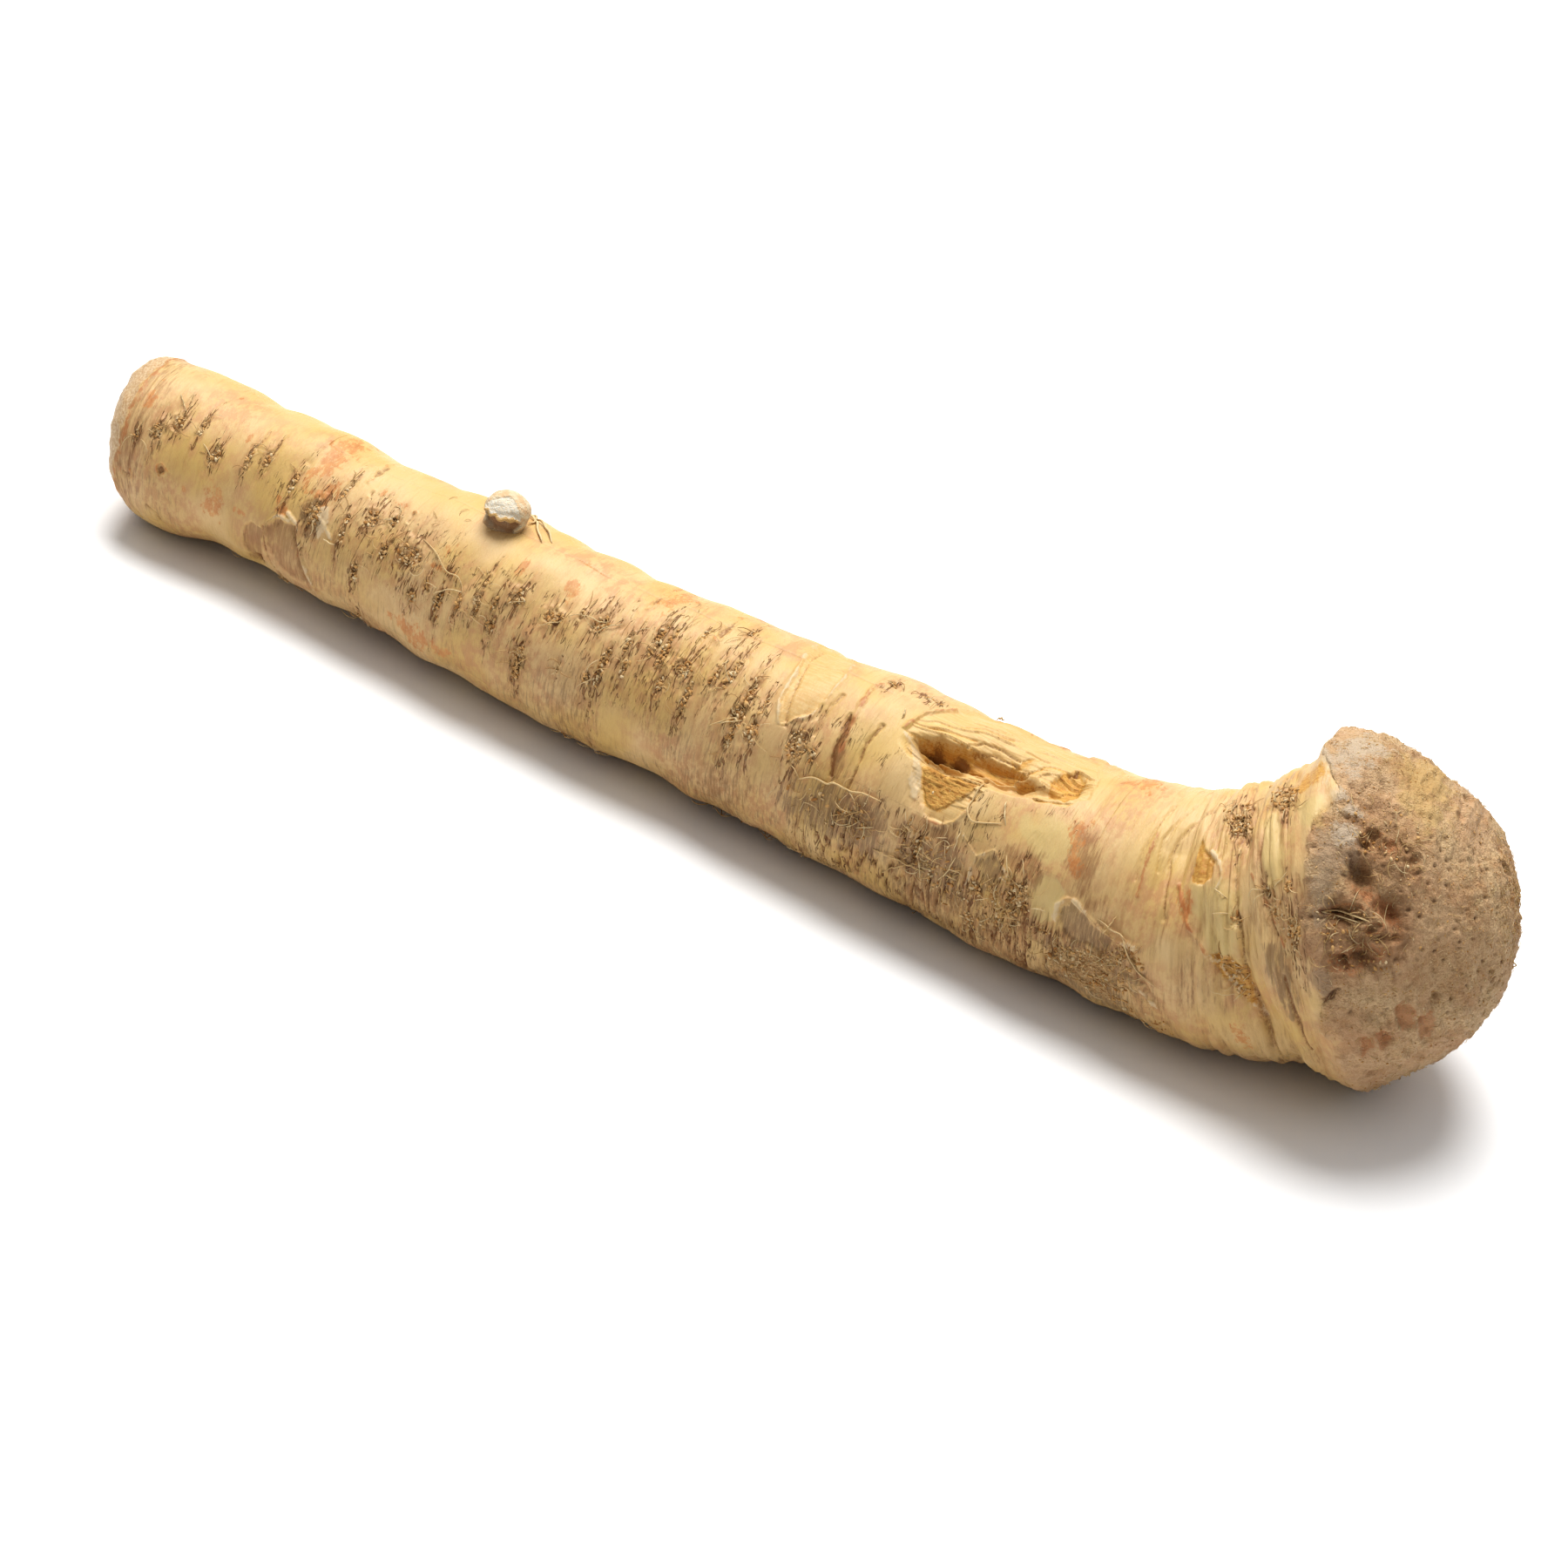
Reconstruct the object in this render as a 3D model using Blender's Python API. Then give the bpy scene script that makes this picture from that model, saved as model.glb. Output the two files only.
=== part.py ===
"""A horseradish root lying on a surface: one grown piece.

The root is a long rod of round section with a swollen crown that bends up and back. A place
on it is given by an arc, the length along its axis from the cut thin end, and by an angle
round the axis: 0 on top, 90 at the front, 180 underneath. The form is the axis and the girth.
The relief is then added along the surface's own normal. Lengths are in millimetres and angles
in degrees until the mesh is made, in metres.
"""
import math

import bpy
import bmesh
import numpy as np
from mathutils import Matrix, Vector

MM = 0.001

# Axis: how far it lifts, in the leaning direction, at each distance along the root
AXIS_LIFT = (
    (-10, 1.8), (0, 2.0), (24, 2.3), (60, 0.8), (108, -1.5), (156, -1.9), (190, -3.0),
    (210, -3.0), (222, -2.3), (232, -1.0), (240, 1.6), (248, 5.8), (255, 9.6), (290, 28.7),
)
LEAN = (0.0, 0.6, 0.8)
SLOPE = 0.037

# Girth: the radius at each arc, up to the crown's widest ring
GIRTH = (
    (-3, 14.6), (3, 15.6), (9, 16.0), (24, 14.9), (36, 15.0), (60, 15.4), (84, 16.8),
    (108, 16.8), (132, 17.2), (156, 18.3), (180, 19.1), (204, 19.7), (216, 20.4),
    (228, 21.6), (238, 23.6), (246, 25.8), (252, 28.2), (257.5, 30.0),
)
CROWN_ARC = 257.5
CROWN_RADIUS = 30.0
CROWN_RISE = 30.4

# Cut thin end: a low dome with a round edge, cut at a slant that leaves the top longer
END_ARC = -2.6
END_DOME = 1.8
END_EDGE = 5.4
END_SLANT = 3.2
END_SLANT_ANGLE = -38.0
END_SLANT_REACH = 9.0

# Swells along the root: height, wavelength, turns round the axis, phase in radians
SWELLS = (
    (0.24, 47.0, 1, 0.4), (0.20, 31.0, 2, 2.1), (0.14, 21.0, 3, 4.0),
    (0.12, 14.5, 4, 1.2), (0.09, 10.5, 2, 5.1), (0.08, 12.0, 5, 2.9),
)

# Underside: how far it stands out at each arc, so that the root lies on its two ends
UNDERSIDE = (
    (-6, 0.0), (30, 0.0), (70, -1.1), (130, -1.2), (190, -1.6), (212, -1.1), (232, 0.7),
    (250, 2.0), (262, 2.0), (278, 0.4), (290, 0.0),
)
UNDERSIDE_ANGLE = 189.0
UNDERSIDE_SPREAD = 22.0

# Folds round the neck: depth, half width, and the line of the crease as (angle, arc)
FOLDS = (
    (1.3, 1.9, ((-30, 247.5), (16, 246.5), (43, 244.4), (70, 244.3), (95, 245.4), (128, 248.3),
                (165, 250))),
    (1.1, 1.7, ((58, 251), (77, 252), (105, 252.5), (128, 253.5))),
    (1.1, 2.4, ((30, 231), (49, 233), (58, 235.2), (78, 239.6), (102, 244.6), (112, 247))),
    (0.8, 2.0, ((-170, 243), (-120, 240), (-75, 243), (-40, 241))),
    (0.7, 2.0, ((140, 228), (175, 233), (210, 231), (250, 236))),
)
FOLD_FADE = 14.0
FOLD_RIDGE = 0.35
FOLD_RIDGE_AT = 2.2

# Crown: the lip and groove on top, and the low step where the skin ends elsewhere
LIP_ANGLE = -38.0
LIP_SPREAD = 36.0
LIP_HEIGHT = 1.9
LIP_ARC = 263.6
LIP_WIDTH = 4.2
GROOVE_DEPTH = 3.6
GROOVE_ARC = 256.4
GROOVE_WIDTHS = (6.6, 1.5)
RIM_STEP = 0.4
RIM_ARC = 258.0
RIM_WIDTH = 1.8

# Hollows: name, arc, angle, half length, half width, depth, turn of the long side off the axis
HOLLOWS = (
    ("gouge, deep end", 181.0, 25.0, 9.0, 4.0, 5.8, -4.0),
    ("gouge, shallow end", 193.5, 22.5, 9.5, 3.4, 3.6, -6.0),
    ("flaked wall above the gouge", 190.0, 12.0, 11.0, 5.0, 1.4, -5.0),
    ("small slot", 202.5, 20.0, 3.6, 1.5, 1.1, -10.0),
    ("hollow towards the neck", 205.0, 8.0, 4.2, 4.4, 1.8, 0.0),
    ("crumbled patch below the gouge", 182.0, 43.0, 6.0, 6.5, 0.9, 20.0),
    ("peeled bark round the gouge", 189.0, 18.0, 19.0, 11.0, 0.8, -10.0),
    ("pit by the rim", 266.0, 52.0, 3.8, 3.8, 3.1, 0.0),
    ("red pit", 271.0, 66.0, 3.8, 4.2, 2.7, 15.0),
    ("long dark pit", 265.5, 80.0, 4.8, 2.8, 3.0, 75.0),
    ("torn ledge", 262.0, 66.0, 3.0, 3.8, 1.5, 0.0),
    ("valley under the lip", 268.0, 22.0, 5.0, 9.0, 1.3, 25.0),
    ("upper small pit", 268.0, 40.0, 2.4, 2.4, 1.3, 0.0),
    ("scar", 272.0, 96.0, 2.0, 4.0, 0.8, 40.0),
    ("lower scar", 275.5, 106.0, 1.8, 3.8, 0.9, 40.0),
    ("lower pit", 264.5, 101.0, 2.6, 2.2, 0.9, 0.0),
    ("notch", 278.0, -28.0, 4.5, 7.0, 1.3, 0.0),
    ("back pit", 270.0, -120.0, 3.4, 3.0, 1.7, 20.0),
    ("back scar", 266.0, 205.0, 3.0, 5.0, 1.0, 30.0),
)

# Swollen places, given the same way, with a height in place of a depth
SWOLLEN = (
    ("brow of the crown", 269.0, 2.0, 6.0, 9.0, 0.7, 0.0),
    ("pale pad by the rim", 259.5, 47.0, 4.0, 7.0, 0.7, 0.0),
    ("shoulder", 236.0, 120.0, 9.0, 9.0, 0.5, 0.0),
    ("back of the crown", 262.0, -130.0, 8.0, 14.0, 0.8, 0.0),
    ("root scar on the back", 132.0, -150.0, 4.5, 4.5, 1.0, 0.0),
    ("root scar underneath", 58.0, 168.0, 4.0, 4.0, 0.5, 0.0),
)

# Stub of a side root, cut off short: rings as height above the skin and radius
STUB_ARC = 81.0
STUB_ANGLE = 0.0
STUB_RINGS = ((-3.0, 3.3), (0.0, 3.7), (1.0, 3.4), (2.0, 4.2), (3.2, 4.6), (4.3, 4.1), (4.7, 3.1))
STUB_SIDES = 14
STUB_LEAN = 8.0
STUB_CUT_ABOVE = 4.0
STUB_CUT_SLOPE = 0.12
STUB_OVAL = 0.09
STUB_LUMPS = 0.05

# Rest: the undersides of the crown and of the thin end are worn flat at one level
REST_LEVEL = -13.55
MIDDLE = (140.0, 6.4)

# Mesh: rings along the outline, columns round it, and where each is closer than elsewhere
RINGS = 110
RING_FOCUS = ((208.0, 15.0, 1.5), (263.0, 11.0, 1.0), (287.0, 9.0, 1.5), (16.0, 8.0, 0.5))
COLUMNS = 52
COLUMN_FOCUS = ((25.0, 15.0, 2.0), (55.0, 55.0, 0.9), (70.0, 18.0, 1.5))

SKIN_COLOUR = (0.68, 0.50, 0.26, 1.0)
SKIN_ROUGHNESS = 0.6


def smooth(table, at):
    """A smooth curve through the table's points."""
    known, value = np.array(table, float).T
    gap = np.diff(known)
    slope = np.diff(value) / gap
    bend = np.empty(len(known))
    bend[0], bend[-1] = slope[0], slope[-1]
    bend[1:-1] = (slope[1:] * gap[:-1] + slope[:-1] * gap[1:]) / (gap[1:] + gap[:-1])
    left = np.clip(np.searchsorted(known, at) - 1, 0, len(gap) - 1)
    q = (at - known[left]) / gap[left]
    start = (2 * q**3 - 3 * q**2 + 1) * value[left] + (q**3 - 2 * q**2 + q) * gap[left] * bend[left]
    finish = (3 * q**2 - 2 * q**3) * value[left + 1] + (q**3 - q**2) * gap[left] * bend[left + 1]
    return start + finish


def unit(vectors):
    """Vectors of length one."""
    return vectors / np.linalg.norm(vectors, axis=-1, keepdims=True)


def axis(arc):
    """Points on the axis, with its direction, its upward side and its front side."""
    x = np.linspace(-10.0, 290.0, 1501)
    lift = smooth(AXIS_LIFT, x)
    line = np.stack([x, LEAN[1] * lift, LEAN[2] * lift + SLOPE * x], 1)
    length = np.concatenate([[0.0], np.cumsum(np.linalg.norm(np.diff(line, axis=0), axis=1))])
    length -= np.interp(0.0, x, length)
    heading = np.gradient(line, length, axis=0)
    point = np.stack([np.interp(arc, length, line[:, k]) for k in range(3)], -1)
    along = unit(np.stack([np.interp(arc, length, heading[:, k]) for k in range(3)], -1))
    up = unit(np.cross(along, np.array([0.0, -1.0, 0.0])))
    up *= np.sign(up[..., 2:3])
    return point, along, up, np.cross(along, up)


def outline():
    """The outline from the middle of the cut end to the tip of the crown: travel, arc, radius."""
    edge_arc = END_ARC + END_EDGE
    edge_radius = float(smooth(GIRTH, np.array([edge_arc]))[0])
    face_radius = edge_radius - END_EDGE
    part = np.linspace(0.0, 1.0, 41)
    quarter = part * math.pi / 2
    arcs = [END_ARC - END_DOME * np.cos(quarter), END_ARC + END_EDGE * (1 - np.cos(quarter))]
    radii = [face_radius * part, face_radius + END_EDGE * np.sin(quarter)]
    shaft = np.linspace(edge_arc, CROWN_ARC, 600)
    arcs += [shaft, CROWN_ARC + CROWN_RISE * np.sin(quarter)]
    radii += [smooth(GIRTH, shaft), CROWN_RADIUS * np.cos(quarter)]
    arc, radius = np.concatenate(arcs), np.concatenate(radii)
    step = np.hypot(np.diff(arc), np.diff(radius))
    keep = np.concatenate([[True], step > 1e-6])
    travel = np.concatenate([[0.0], np.cumsum(step)])
    return travel[keep], arc[keep], radius[keep]


def stations(low, high, count, focus):
    """Values from low to high, closer together at each (middle, spread, gain) of the focus."""
    fine = np.linspace(low, high, 4001)
    density = np.ones_like(fine)
    for middle, spread, gain in focus:
        density += gain * np.exp(-0.5 * ((fine - middle) / spread) ** 2)
    total = np.cumsum(density) - density[0]
    return np.interp(np.linspace(0.0, total[-1], count), total, fine)


def turned(angle):
    """An angle brought into the range from -180 to 180."""
    return (angle + 180.0) % 360.0 - 180.0


def bell(distance):
    """A smooth rise that is 1 at distance 0 and gone at distance 1."""
    return np.clip(1.0 - distance**2, 0.0, 1.0) ** 2


def patch(travel, angle, radius, place):
    """How strongly each point lies in an oval place on the surface, 0 to 1."""
    _, arc_at, angle_at, half_length, half_width, _, turn = place
    along = travel - travel_at(arc_at)
    across = np.radians(turned(angle - angle_at)) * radius
    cos, sin = math.cos(math.radians(turn)), math.sin(math.radians(turn))
    lengthwise = (along * cos + across * sin) / half_length
    sideways = (across * cos - along * sin) / half_width
    return bell(np.hypot(lengthwise, sideways))


def travel_at(arc):
    """Distance along the outline at an arc."""
    travel, arcs, _ = outline()
    return float(np.interp(arc, arcs, travel))


def folds(arc, angle):
    """Creases round the neck, each with a soft ridge on its crown side."""
    height = np.zeros_like(arc)
    for depth, half_width, line in FOLDS:
        line_angle, line_arc = np.array(line, float).T
        middle = (line_angle[0] + line_angle[-1]) / 2
        here = middle + turned(angle - middle)
        beyond = np.maximum(line_angle[0] - here, here - line_angle[-1])
        strength = np.clip(1.0 - beyond / FOLD_FADE, 0.0, 1.0)
        distance = (arc - np.interp(here, line_angle, line_arc)) / half_width
        height -= depth * strength * np.exp(-0.5 * distance**2)
        ridge = FOLD_RIDGE * np.exp(-0.5 * (distance - FOLD_RIDGE_AT) ** 2)
        height += depth * strength * ridge
    return height


def crown_edge(arc, angle):
    """The crown's lip over the neck on top, and the low step where the skin ends elsewhere."""
    window = np.exp(-0.5 * (turned(angle - LIP_ANGLE) / LIP_SPREAD) ** 2)
    lip = LIP_HEIGHT * np.exp(-0.5 * ((arc - LIP_ARC) / LIP_WIDTH) ** 2)
    groove_width = np.where(arc < GROOVE_ARC, *GROOVE_WIDTHS)
    groove = GROOVE_DEPTH * np.exp(-0.5 * ((arc - GROOVE_ARC) / groove_width) ** 2)
    step = RIM_STEP * np.exp(-0.5 * ((arc - RIM_ARC) / RIM_WIDTH) ** 2)
    return window * (lip - groove) + (1.0 - window) * step


def underside(arc, angle):
    """How far the underside stands out or is drawn in."""
    window = np.exp(-0.5 * (turned(angle - UNDERSIDE_ANGLE) / UNDERSIDE_SPREAD) ** 2)
    return window * smooth(UNDERSIDE, arc)


def relief(travel, arc, radius, angle):
    """Height of the relief above the plain form."""
    turn = np.radians(angle)
    height = np.zeros_like(arc)
    for swell, wavelength, turns, phase in SWELLS:
        height += swell * np.cos(2 * math.pi * travel / wavelength + turns * turn + phase)
    height += folds(arc, angle) + crown_edge(arc, angle) + underside(arc, angle)
    for place in SWOLLEN:
        height += place[5] * patch(travel, angle, radius, place)
    for place in HOLLOWS:
        height -= place[5] * patch(travel, angle, radius, place)
    return height


def form(arc, radius, angle):
    """Points of the plain form, with the thin end cut at its slant."""
    turn = np.radians(angle)
    share = radius * np.cos(turn - math.radians(END_SLANT_ANGLE)) / GIRTH[1][1]
    fade = np.exp(-np.clip(arc - END_ARC, 0.0, None) / END_SLANT_REACH)
    point, along, up, front = axis(arc - END_SLANT * share * fade)
    outward = np.cos(turn)[..., None] * up + np.sin(turn)[..., None] * front
    return point + radius[..., None] * outward


def surface(rings, columns, ring_focus=(), column_focus=()):
    """The root's surface as rings of points, with the points of its two tips."""
    travels, arcs, radii = outline()
    travel = stations(0.0, travels[-1], rings + 2, ring_focus)[:, None]
    angle = stations(-150.0, 210.0, columns + 1, column_focus)[None, :-1]
    travel, angle = np.broadcast_arrays(travel, angle)
    arc, radius = np.interp(travel, travels, arcs), np.interp(travel, travels, radii)
    plain = form(arc, radius, angle)
    beside = np.roll(plain, -1, 1) - np.roll(plain, 1, 1)
    normal = np.cross(beside, np.gradient(plain, axis=0))
    normal[0] = -axis(arc[0, 0])[1]
    normal[-1] = axis(arc[-1, 0])[1]
    height = relief(travel, arc, radius, angle)
    height[0] = height[0].mean()
    height[-1] = height[-1].mean()
    point = plain + unit(normal) * height[..., None]
    point[..., 2] = np.maximum(point[..., 2], REST_LEVEL)
    return (point - np.array([*MIDDLE, REST_LEVEL])) * MM


def root_mesh():
    """The root as one closed mesh of four-sided faces, with a fan at each tip."""
    point = surface(RINGS, COLUMNS, RING_FOCUS, COLUMN_FOCUS)
    vertices = [point[0, 0], *point[1:-1].reshape(-1, 3), point[-1, 0]]
    number = np.arange(RINGS * COLUMNS).reshape(RINGS, COLUMNS) + 1
    beside = np.roll(number, -1, 1)
    faces = [(0, b, a) for a, b in zip(number[0].tolist(), beside[0].tolist())]
    for ring in range(RINGS - 1):
        corners = number[ring], beside[ring], beside[ring + 1], number[ring + 1]
        faces += list(zip(*(corner.tolist() for corner in corners)))
    last = len(vertices) - 1
    faces += [(last, a, b) for a, b in zip(number[-1].tolist(), beside[-1].tolist())]
    mesh = bpy.data.meshes.new("horseradish_root")
    mesh.from_pydata([tuple(v) for v in vertices], [], faces)
    model = bmesh.new()
    model.from_mesh(mesh)
    bmesh.ops.recalc_face_normals(model, faces=model.faces)
    model.to_mesh(mesh)
    model.free()
    return mesh


def stub_mesh():
    """The side root's stub: a knob with a pinched neck and a sloping cut on top."""
    mesh = bpy.data.meshes.new("side_root_stub")
    model = bmesh.new()
    rings = []
    for height, radius in STUB_RINGS:
        ring = []
        for side in range(STUB_SIDES):
            turn = 2 * math.pi * side / STUB_SIDES
            uneven = 1.0 + STUB_OVAL * math.cos(2 * turn + height) + STUB_LUMPS * math.cos(3 * turn)
            x = radius * uneven * math.cos(turn)
            y = radius * uneven * math.sin(turn)
            rise = height + (STUB_CUT_SLOPE * y if height > STUB_CUT_ABOVE else 0.0)
            ring.append(model.verts.new(Vector((x, y, rise)) * MM))
        rings.append(ring)
    for low, high in zip(rings, rings[1:]):
        for side in range(STUB_SIDES):
            after = (side + 1) % STUB_SIDES
            model.faces.new((low[side], low[after], high[after], high[side]))
    model.faces.new(list(reversed(rings[0])))
    model.faces.new(rings[-1])
    bmesh.ops.recalc_face_normals(model, faces=model.faces)
    model.to_mesh(mesh)
    model.free()
    return mesh


def stub_place():
    """Where the stub stands: on the skin, leaning a little towards the crown."""
    arc, angle = np.array([STUB_ARC]), np.array([STUB_ANGLE])
    radius = smooth(GIRTH, arc)
    foot = form(arc, radius, angle)[0] - np.array([*MIDDLE, REST_LEVEL])
    point, along, up, front = (vector[0] for vector in axis(arc))
    turn = math.radians(STUB_ANGLE)
    outward = math.cos(turn) * up + math.sin(turn) * front
    lean = math.radians(STUB_LEAN)
    outward = Vector(outward * math.cos(lean) + along * math.sin(lean)).normalized()
    across = outward.cross(Vector(along)).normalized()
    turn_to = Matrix((across.cross(outward), across, outward)).transposed().to_4x4()
    return Matrix.Translation(Vector(foot) * MM) @ turn_to


def skin_material():
    """Cream skin, dull as wax."""
    material = bpy.data.materials.new("root_skin")
    material.use_nodes = True
    shader = material.node_tree.nodes["Principled BSDF"]
    shader.inputs["Base Color"].default_value = SKIN_COLOUR
    shader.inputs["Roughness"].default_value = SKIN_ROUGHNESS
    shader.inputs["Metallic"].default_value = 0.0
    return material


def build():
    """Make the root, and grow the stub out of it."""
    for item in list(bpy.data.objects):
        bpy.data.objects.remove(item)
    root = bpy.data.objects.new("horseradish_root", root_mesh())
    bpy.context.scene.collection.objects.link(root)
    root.data.materials.append(skin_material())
    root.data.shade_smooth()

    stub = bpy.data.objects.new("side_root_stub", stub_mesh())
    bpy.context.scene.collection.objects.link(stub)
    stub.matrix_world = stub_place()
    stub.hide_render = True
    stub.display_type = "WIRE"
    joined = root.modifiers.new("side root", "BOOLEAN")
    joined.operation = "UNION"
    joined.object = stub


build()
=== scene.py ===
"""The looks of a horseradish root that lies on a pale surface.

A place on the root is its travel along the outline, from the middle of the cut thin end to the
tip of the crown, and an angle round the axis: 0 on top, 90 at the front, 180 underneath.
Lengths are in millimetres until a mesh is made. A mark that the photograph shows is placed by
its pixel there, in a frame of 1800 by 1800, and laid on the surface at that place.
"""
import functools
import math

import bmesh
import bpy
import numpy as np
from mathutils import Matrix, Vector


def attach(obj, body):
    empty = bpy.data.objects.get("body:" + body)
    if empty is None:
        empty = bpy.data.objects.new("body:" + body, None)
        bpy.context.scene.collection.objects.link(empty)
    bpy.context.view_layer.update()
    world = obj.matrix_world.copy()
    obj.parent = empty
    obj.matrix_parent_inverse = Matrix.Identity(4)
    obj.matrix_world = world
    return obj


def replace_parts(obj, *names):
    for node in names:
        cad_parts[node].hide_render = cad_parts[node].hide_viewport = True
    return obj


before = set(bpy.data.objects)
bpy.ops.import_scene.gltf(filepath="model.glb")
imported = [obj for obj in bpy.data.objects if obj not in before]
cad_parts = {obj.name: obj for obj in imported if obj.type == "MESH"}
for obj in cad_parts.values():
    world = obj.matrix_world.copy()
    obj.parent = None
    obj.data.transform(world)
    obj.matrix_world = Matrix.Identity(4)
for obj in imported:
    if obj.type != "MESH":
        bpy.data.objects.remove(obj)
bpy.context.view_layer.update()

MM = 0.001
BODY = "root"

# Camera: side of the photograph in pixels, lens and sensor in mm, place in mm from the part's
# origin, turns in degrees, and the nearest and farthest that it sees in metres
PHOTO = 1800
LENS = 100.0
SENSOR = 36.0
CAMERA_PLACE = np.array([269.7, -612.2, 469.15])
CAMERA_AZIMUTH = 23.39
CAMERA_ELEVATION = 35.04
CAMERA_ROLL = 11.89
CAMERA_RANGE = (0.05, 20.0)

# Surround: where it is brightest, and how bright it is at a nearness of 0 to 1 to that place
SKY_MIDDLE = (0.0, 0.1, 0.99)
SKY = {"From Min": 0.05, "From Max": 0.9, "To Min": 0.08, "To Max": 0.62}

# Lamp: place and size in metres, and power in watts
KEY = {"place": (-0.25, 0.38, 1.35), "size": 1.0, "power": 25.0}

# Floor: half its width and how far it lies under the root, in metres
FLOOR_HALF = 1.2
FLOOR_BELOW = 0.0002

# The surface's own colour, as a share of the linear colour that it shows in this light
SHADE = 0.7

# Axis: how far it lifts at each distance along the root, which way, and its slope besides
AXIS_LIFT = (
    (-10, 1.8), (0, 2.0), (24, 2.3), (60, 0.8), (108, -1.5), (156, -1.9), (190, -3.0),
    (210, -3.0), (222, -2.3), (232, -1.0), (240, 1.6), (248, 5.8), (255, 9.6), (290, 28.7),
)
LEAN = (0.0, 0.6, 0.8)
SLOPE = 0.037

# Girth: the radius at each arc, up to the crown's widest ring
GIRTH = (
    (-3, 14.6), (3, 15.6), (9, 16.0), (24, 14.9), (36, 15.0), (60, 15.4), (84, 16.8),
    (108, 16.8), (132, 17.2), (156, 18.3), (180, 19.1), (204, 19.7), (216, 20.4),
    (228, 21.6), (238, 23.6), (246, 25.8), (252, 28.2), (257.5, 30.0),
)
CROWN_ARC = 257.5
CROWN_RADIUS = 30.0
CROWN_RISE = 30.4

# Cut thin end: a low dome with a round edge, cut at a slant that leaves the top longer
END_ARC = -2.6
END_DOME = 1.8
END_EDGE = 5.4
END_SLANT = 3.2
END_SLANT_ANGLE = -38.0
END_SLANT_REACH = 9.0

# Swells along the root: height, wavelength, turns round the axis, phase in radians
SWELLS = (
    (0.24, 47.0, 1, 0.4), (0.20, 31.0, 2, 2.1), (0.14, 21.0, 3, 4.0),
    (0.12, 14.5, 4, 1.2), (0.09, 10.5, 2, 5.1), (0.08, 12.0, 5, 2.9),
)

# Underside: how far it stands out at each arc, so that the root lies on its two ends
UNDERSIDE = (
    (-6, 0.0), (30, 0.0), (70, -1.1), (130, -1.2), (190, -1.6), (212, -1.1), (232, 0.7),
    (250, 2.0), (262, 2.0), (278, 0.4), (290, 0.0),
)
UNDERSIDE_ANGLE = 189.0
UNDERSIDE_SPREAD = 22.0

# Folds round the neck: depth, half width, and the line of the crease as (angle, arc)
FOLDS = (
    (1.3, 1.9, ((-30, 247.5), (16, 246.5), (43, 244.4), (70, 244.3), (95, 245.4), (128, 248.3),
                (165, 250))),
    (1.1, 1.7, ((58, 251), (77, 252), (105, 252.5), (128, 253.5))),
    (1.1, 2.4, ((30, 231), (49, 233), (58, 235.2), (78, 239.6), (102, 244.6), (112, 247))),
    (0.8, 2.0, ((-170, 243), (-120, 240), (-75, 243), (-40, 241))),
    (0.7, 2.0, ((140, 228), (175, 233), (210, 231), (250, 236))),
)
FOLD_FADE = 14.0
FOLD_RIDGE = 0.35
FOLD_RIDGE_AT = 2.2

# Crown: the lip and groove on top, and the low step where the skin ends elsewhere
LIP_ANGLE = -38.0
LIP_SPREAD = 36.0
LIP_HEIGHT = 1.9
LIP_ARC = 263.6
LIP_WIDTH = 4.2
GROOVE_DEPTH = 3.6
GROOVE_ARC = 256.4
GROOVE_WIDTHS = (6.6, 1.5)
RIM_STEP = 0.4
RIM_ARC = 258.0
RIM_WIDTH = 1.8

# Hollows: arc, angle, half length, half width, depth, turn of the long side off the axis
HOLLOWS = (
    (181.0, 25.0, 9.0, 4.0, 5.8, -4.0), (193.5, 22.5, 9.5, 3.4, 3.6, -6.0),
    (190.0, 12.0, 11.0, 5.0, 1.4, -5.0), (202.5, 20.0, 3.6, 1.5, 1.1, -10.0),
    (205.0, 8.0, 4.2, 4.4, 1.8, 0.0), (182.0, 43.0, 6.0, 6.5, 0.9, 20.0),
    (189.0, 18.0, 19.0, 11.0, 0.8, -10.0), (266.0, 52.0, 3.8, 3.8, 2.3, 0.0),
    (271.0, 66.0, 3.8, 4.2, 2.1, 15.0), (265.5, 80.0, 4.8, 2.8, 2.3, 75.0),
    (262.0, 66.0, 3.0, 3.8, 1.5, 0.0), (268.0, 22.0, 5.0, 9.0, 1.3, 25.0),
    (268.0, 40.0, 2.4, 2.4, 1.3, 0.0), (272.0, 96.0, 2.0, 4.0, 0.8, 40.0),
    (275.5, 106.0, 1.8, 3.8, 0.9, 40.0), (264.5, 101.0, 2.6, 2.2, 0.9, 0.0),
    (278.0, -28.0, 4.5, 7.0, 1.3, 0.0), (270.0, -120.0, 3.4, 3.0, 1.7, 20.0),
    (266.0, 205.0, 3.0, 5.0, 1.0, 30.0),
)

# Swollen places, given the same way, with a height in place of a depth
SWOLLEN = (
    (269.0, 2.0, 6.0, 9.0, 0.7, 0.0), (259.5, 47.0, 4.0, 7.0, 0.7, 0.0),
    (236.0, 120.0, 9.0, 9.0, 0.5, 0.0), (262.0, -130.0, 8.0, 14.0, 0.8, 0.0),
    (132.0, -150.0, 4.5, 4.5, 1.0, 0.0), (58.0, 168.0, 4.0, 4.0, 0.5, 0.0),
)

# Stub of a side root: a bulb, with rings as height above the skin and radius
STUB_ARC = 81.0
STUB_ANGLE = 0.0
STUB_RINGS = (
    (-3.0, 3.6), (0.0, 3.7), (0.8, 3.75), (1.7, 4.2), (2.6, 4.4), (3.7, 4.35), (4.7, 3.85),
    (5.6, 2.95), (6.1, 1.6),
)
STUB_LEAN = 8.0
STUB_OVAL = 0.05
STUB_LUMPS = 0.03

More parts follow.
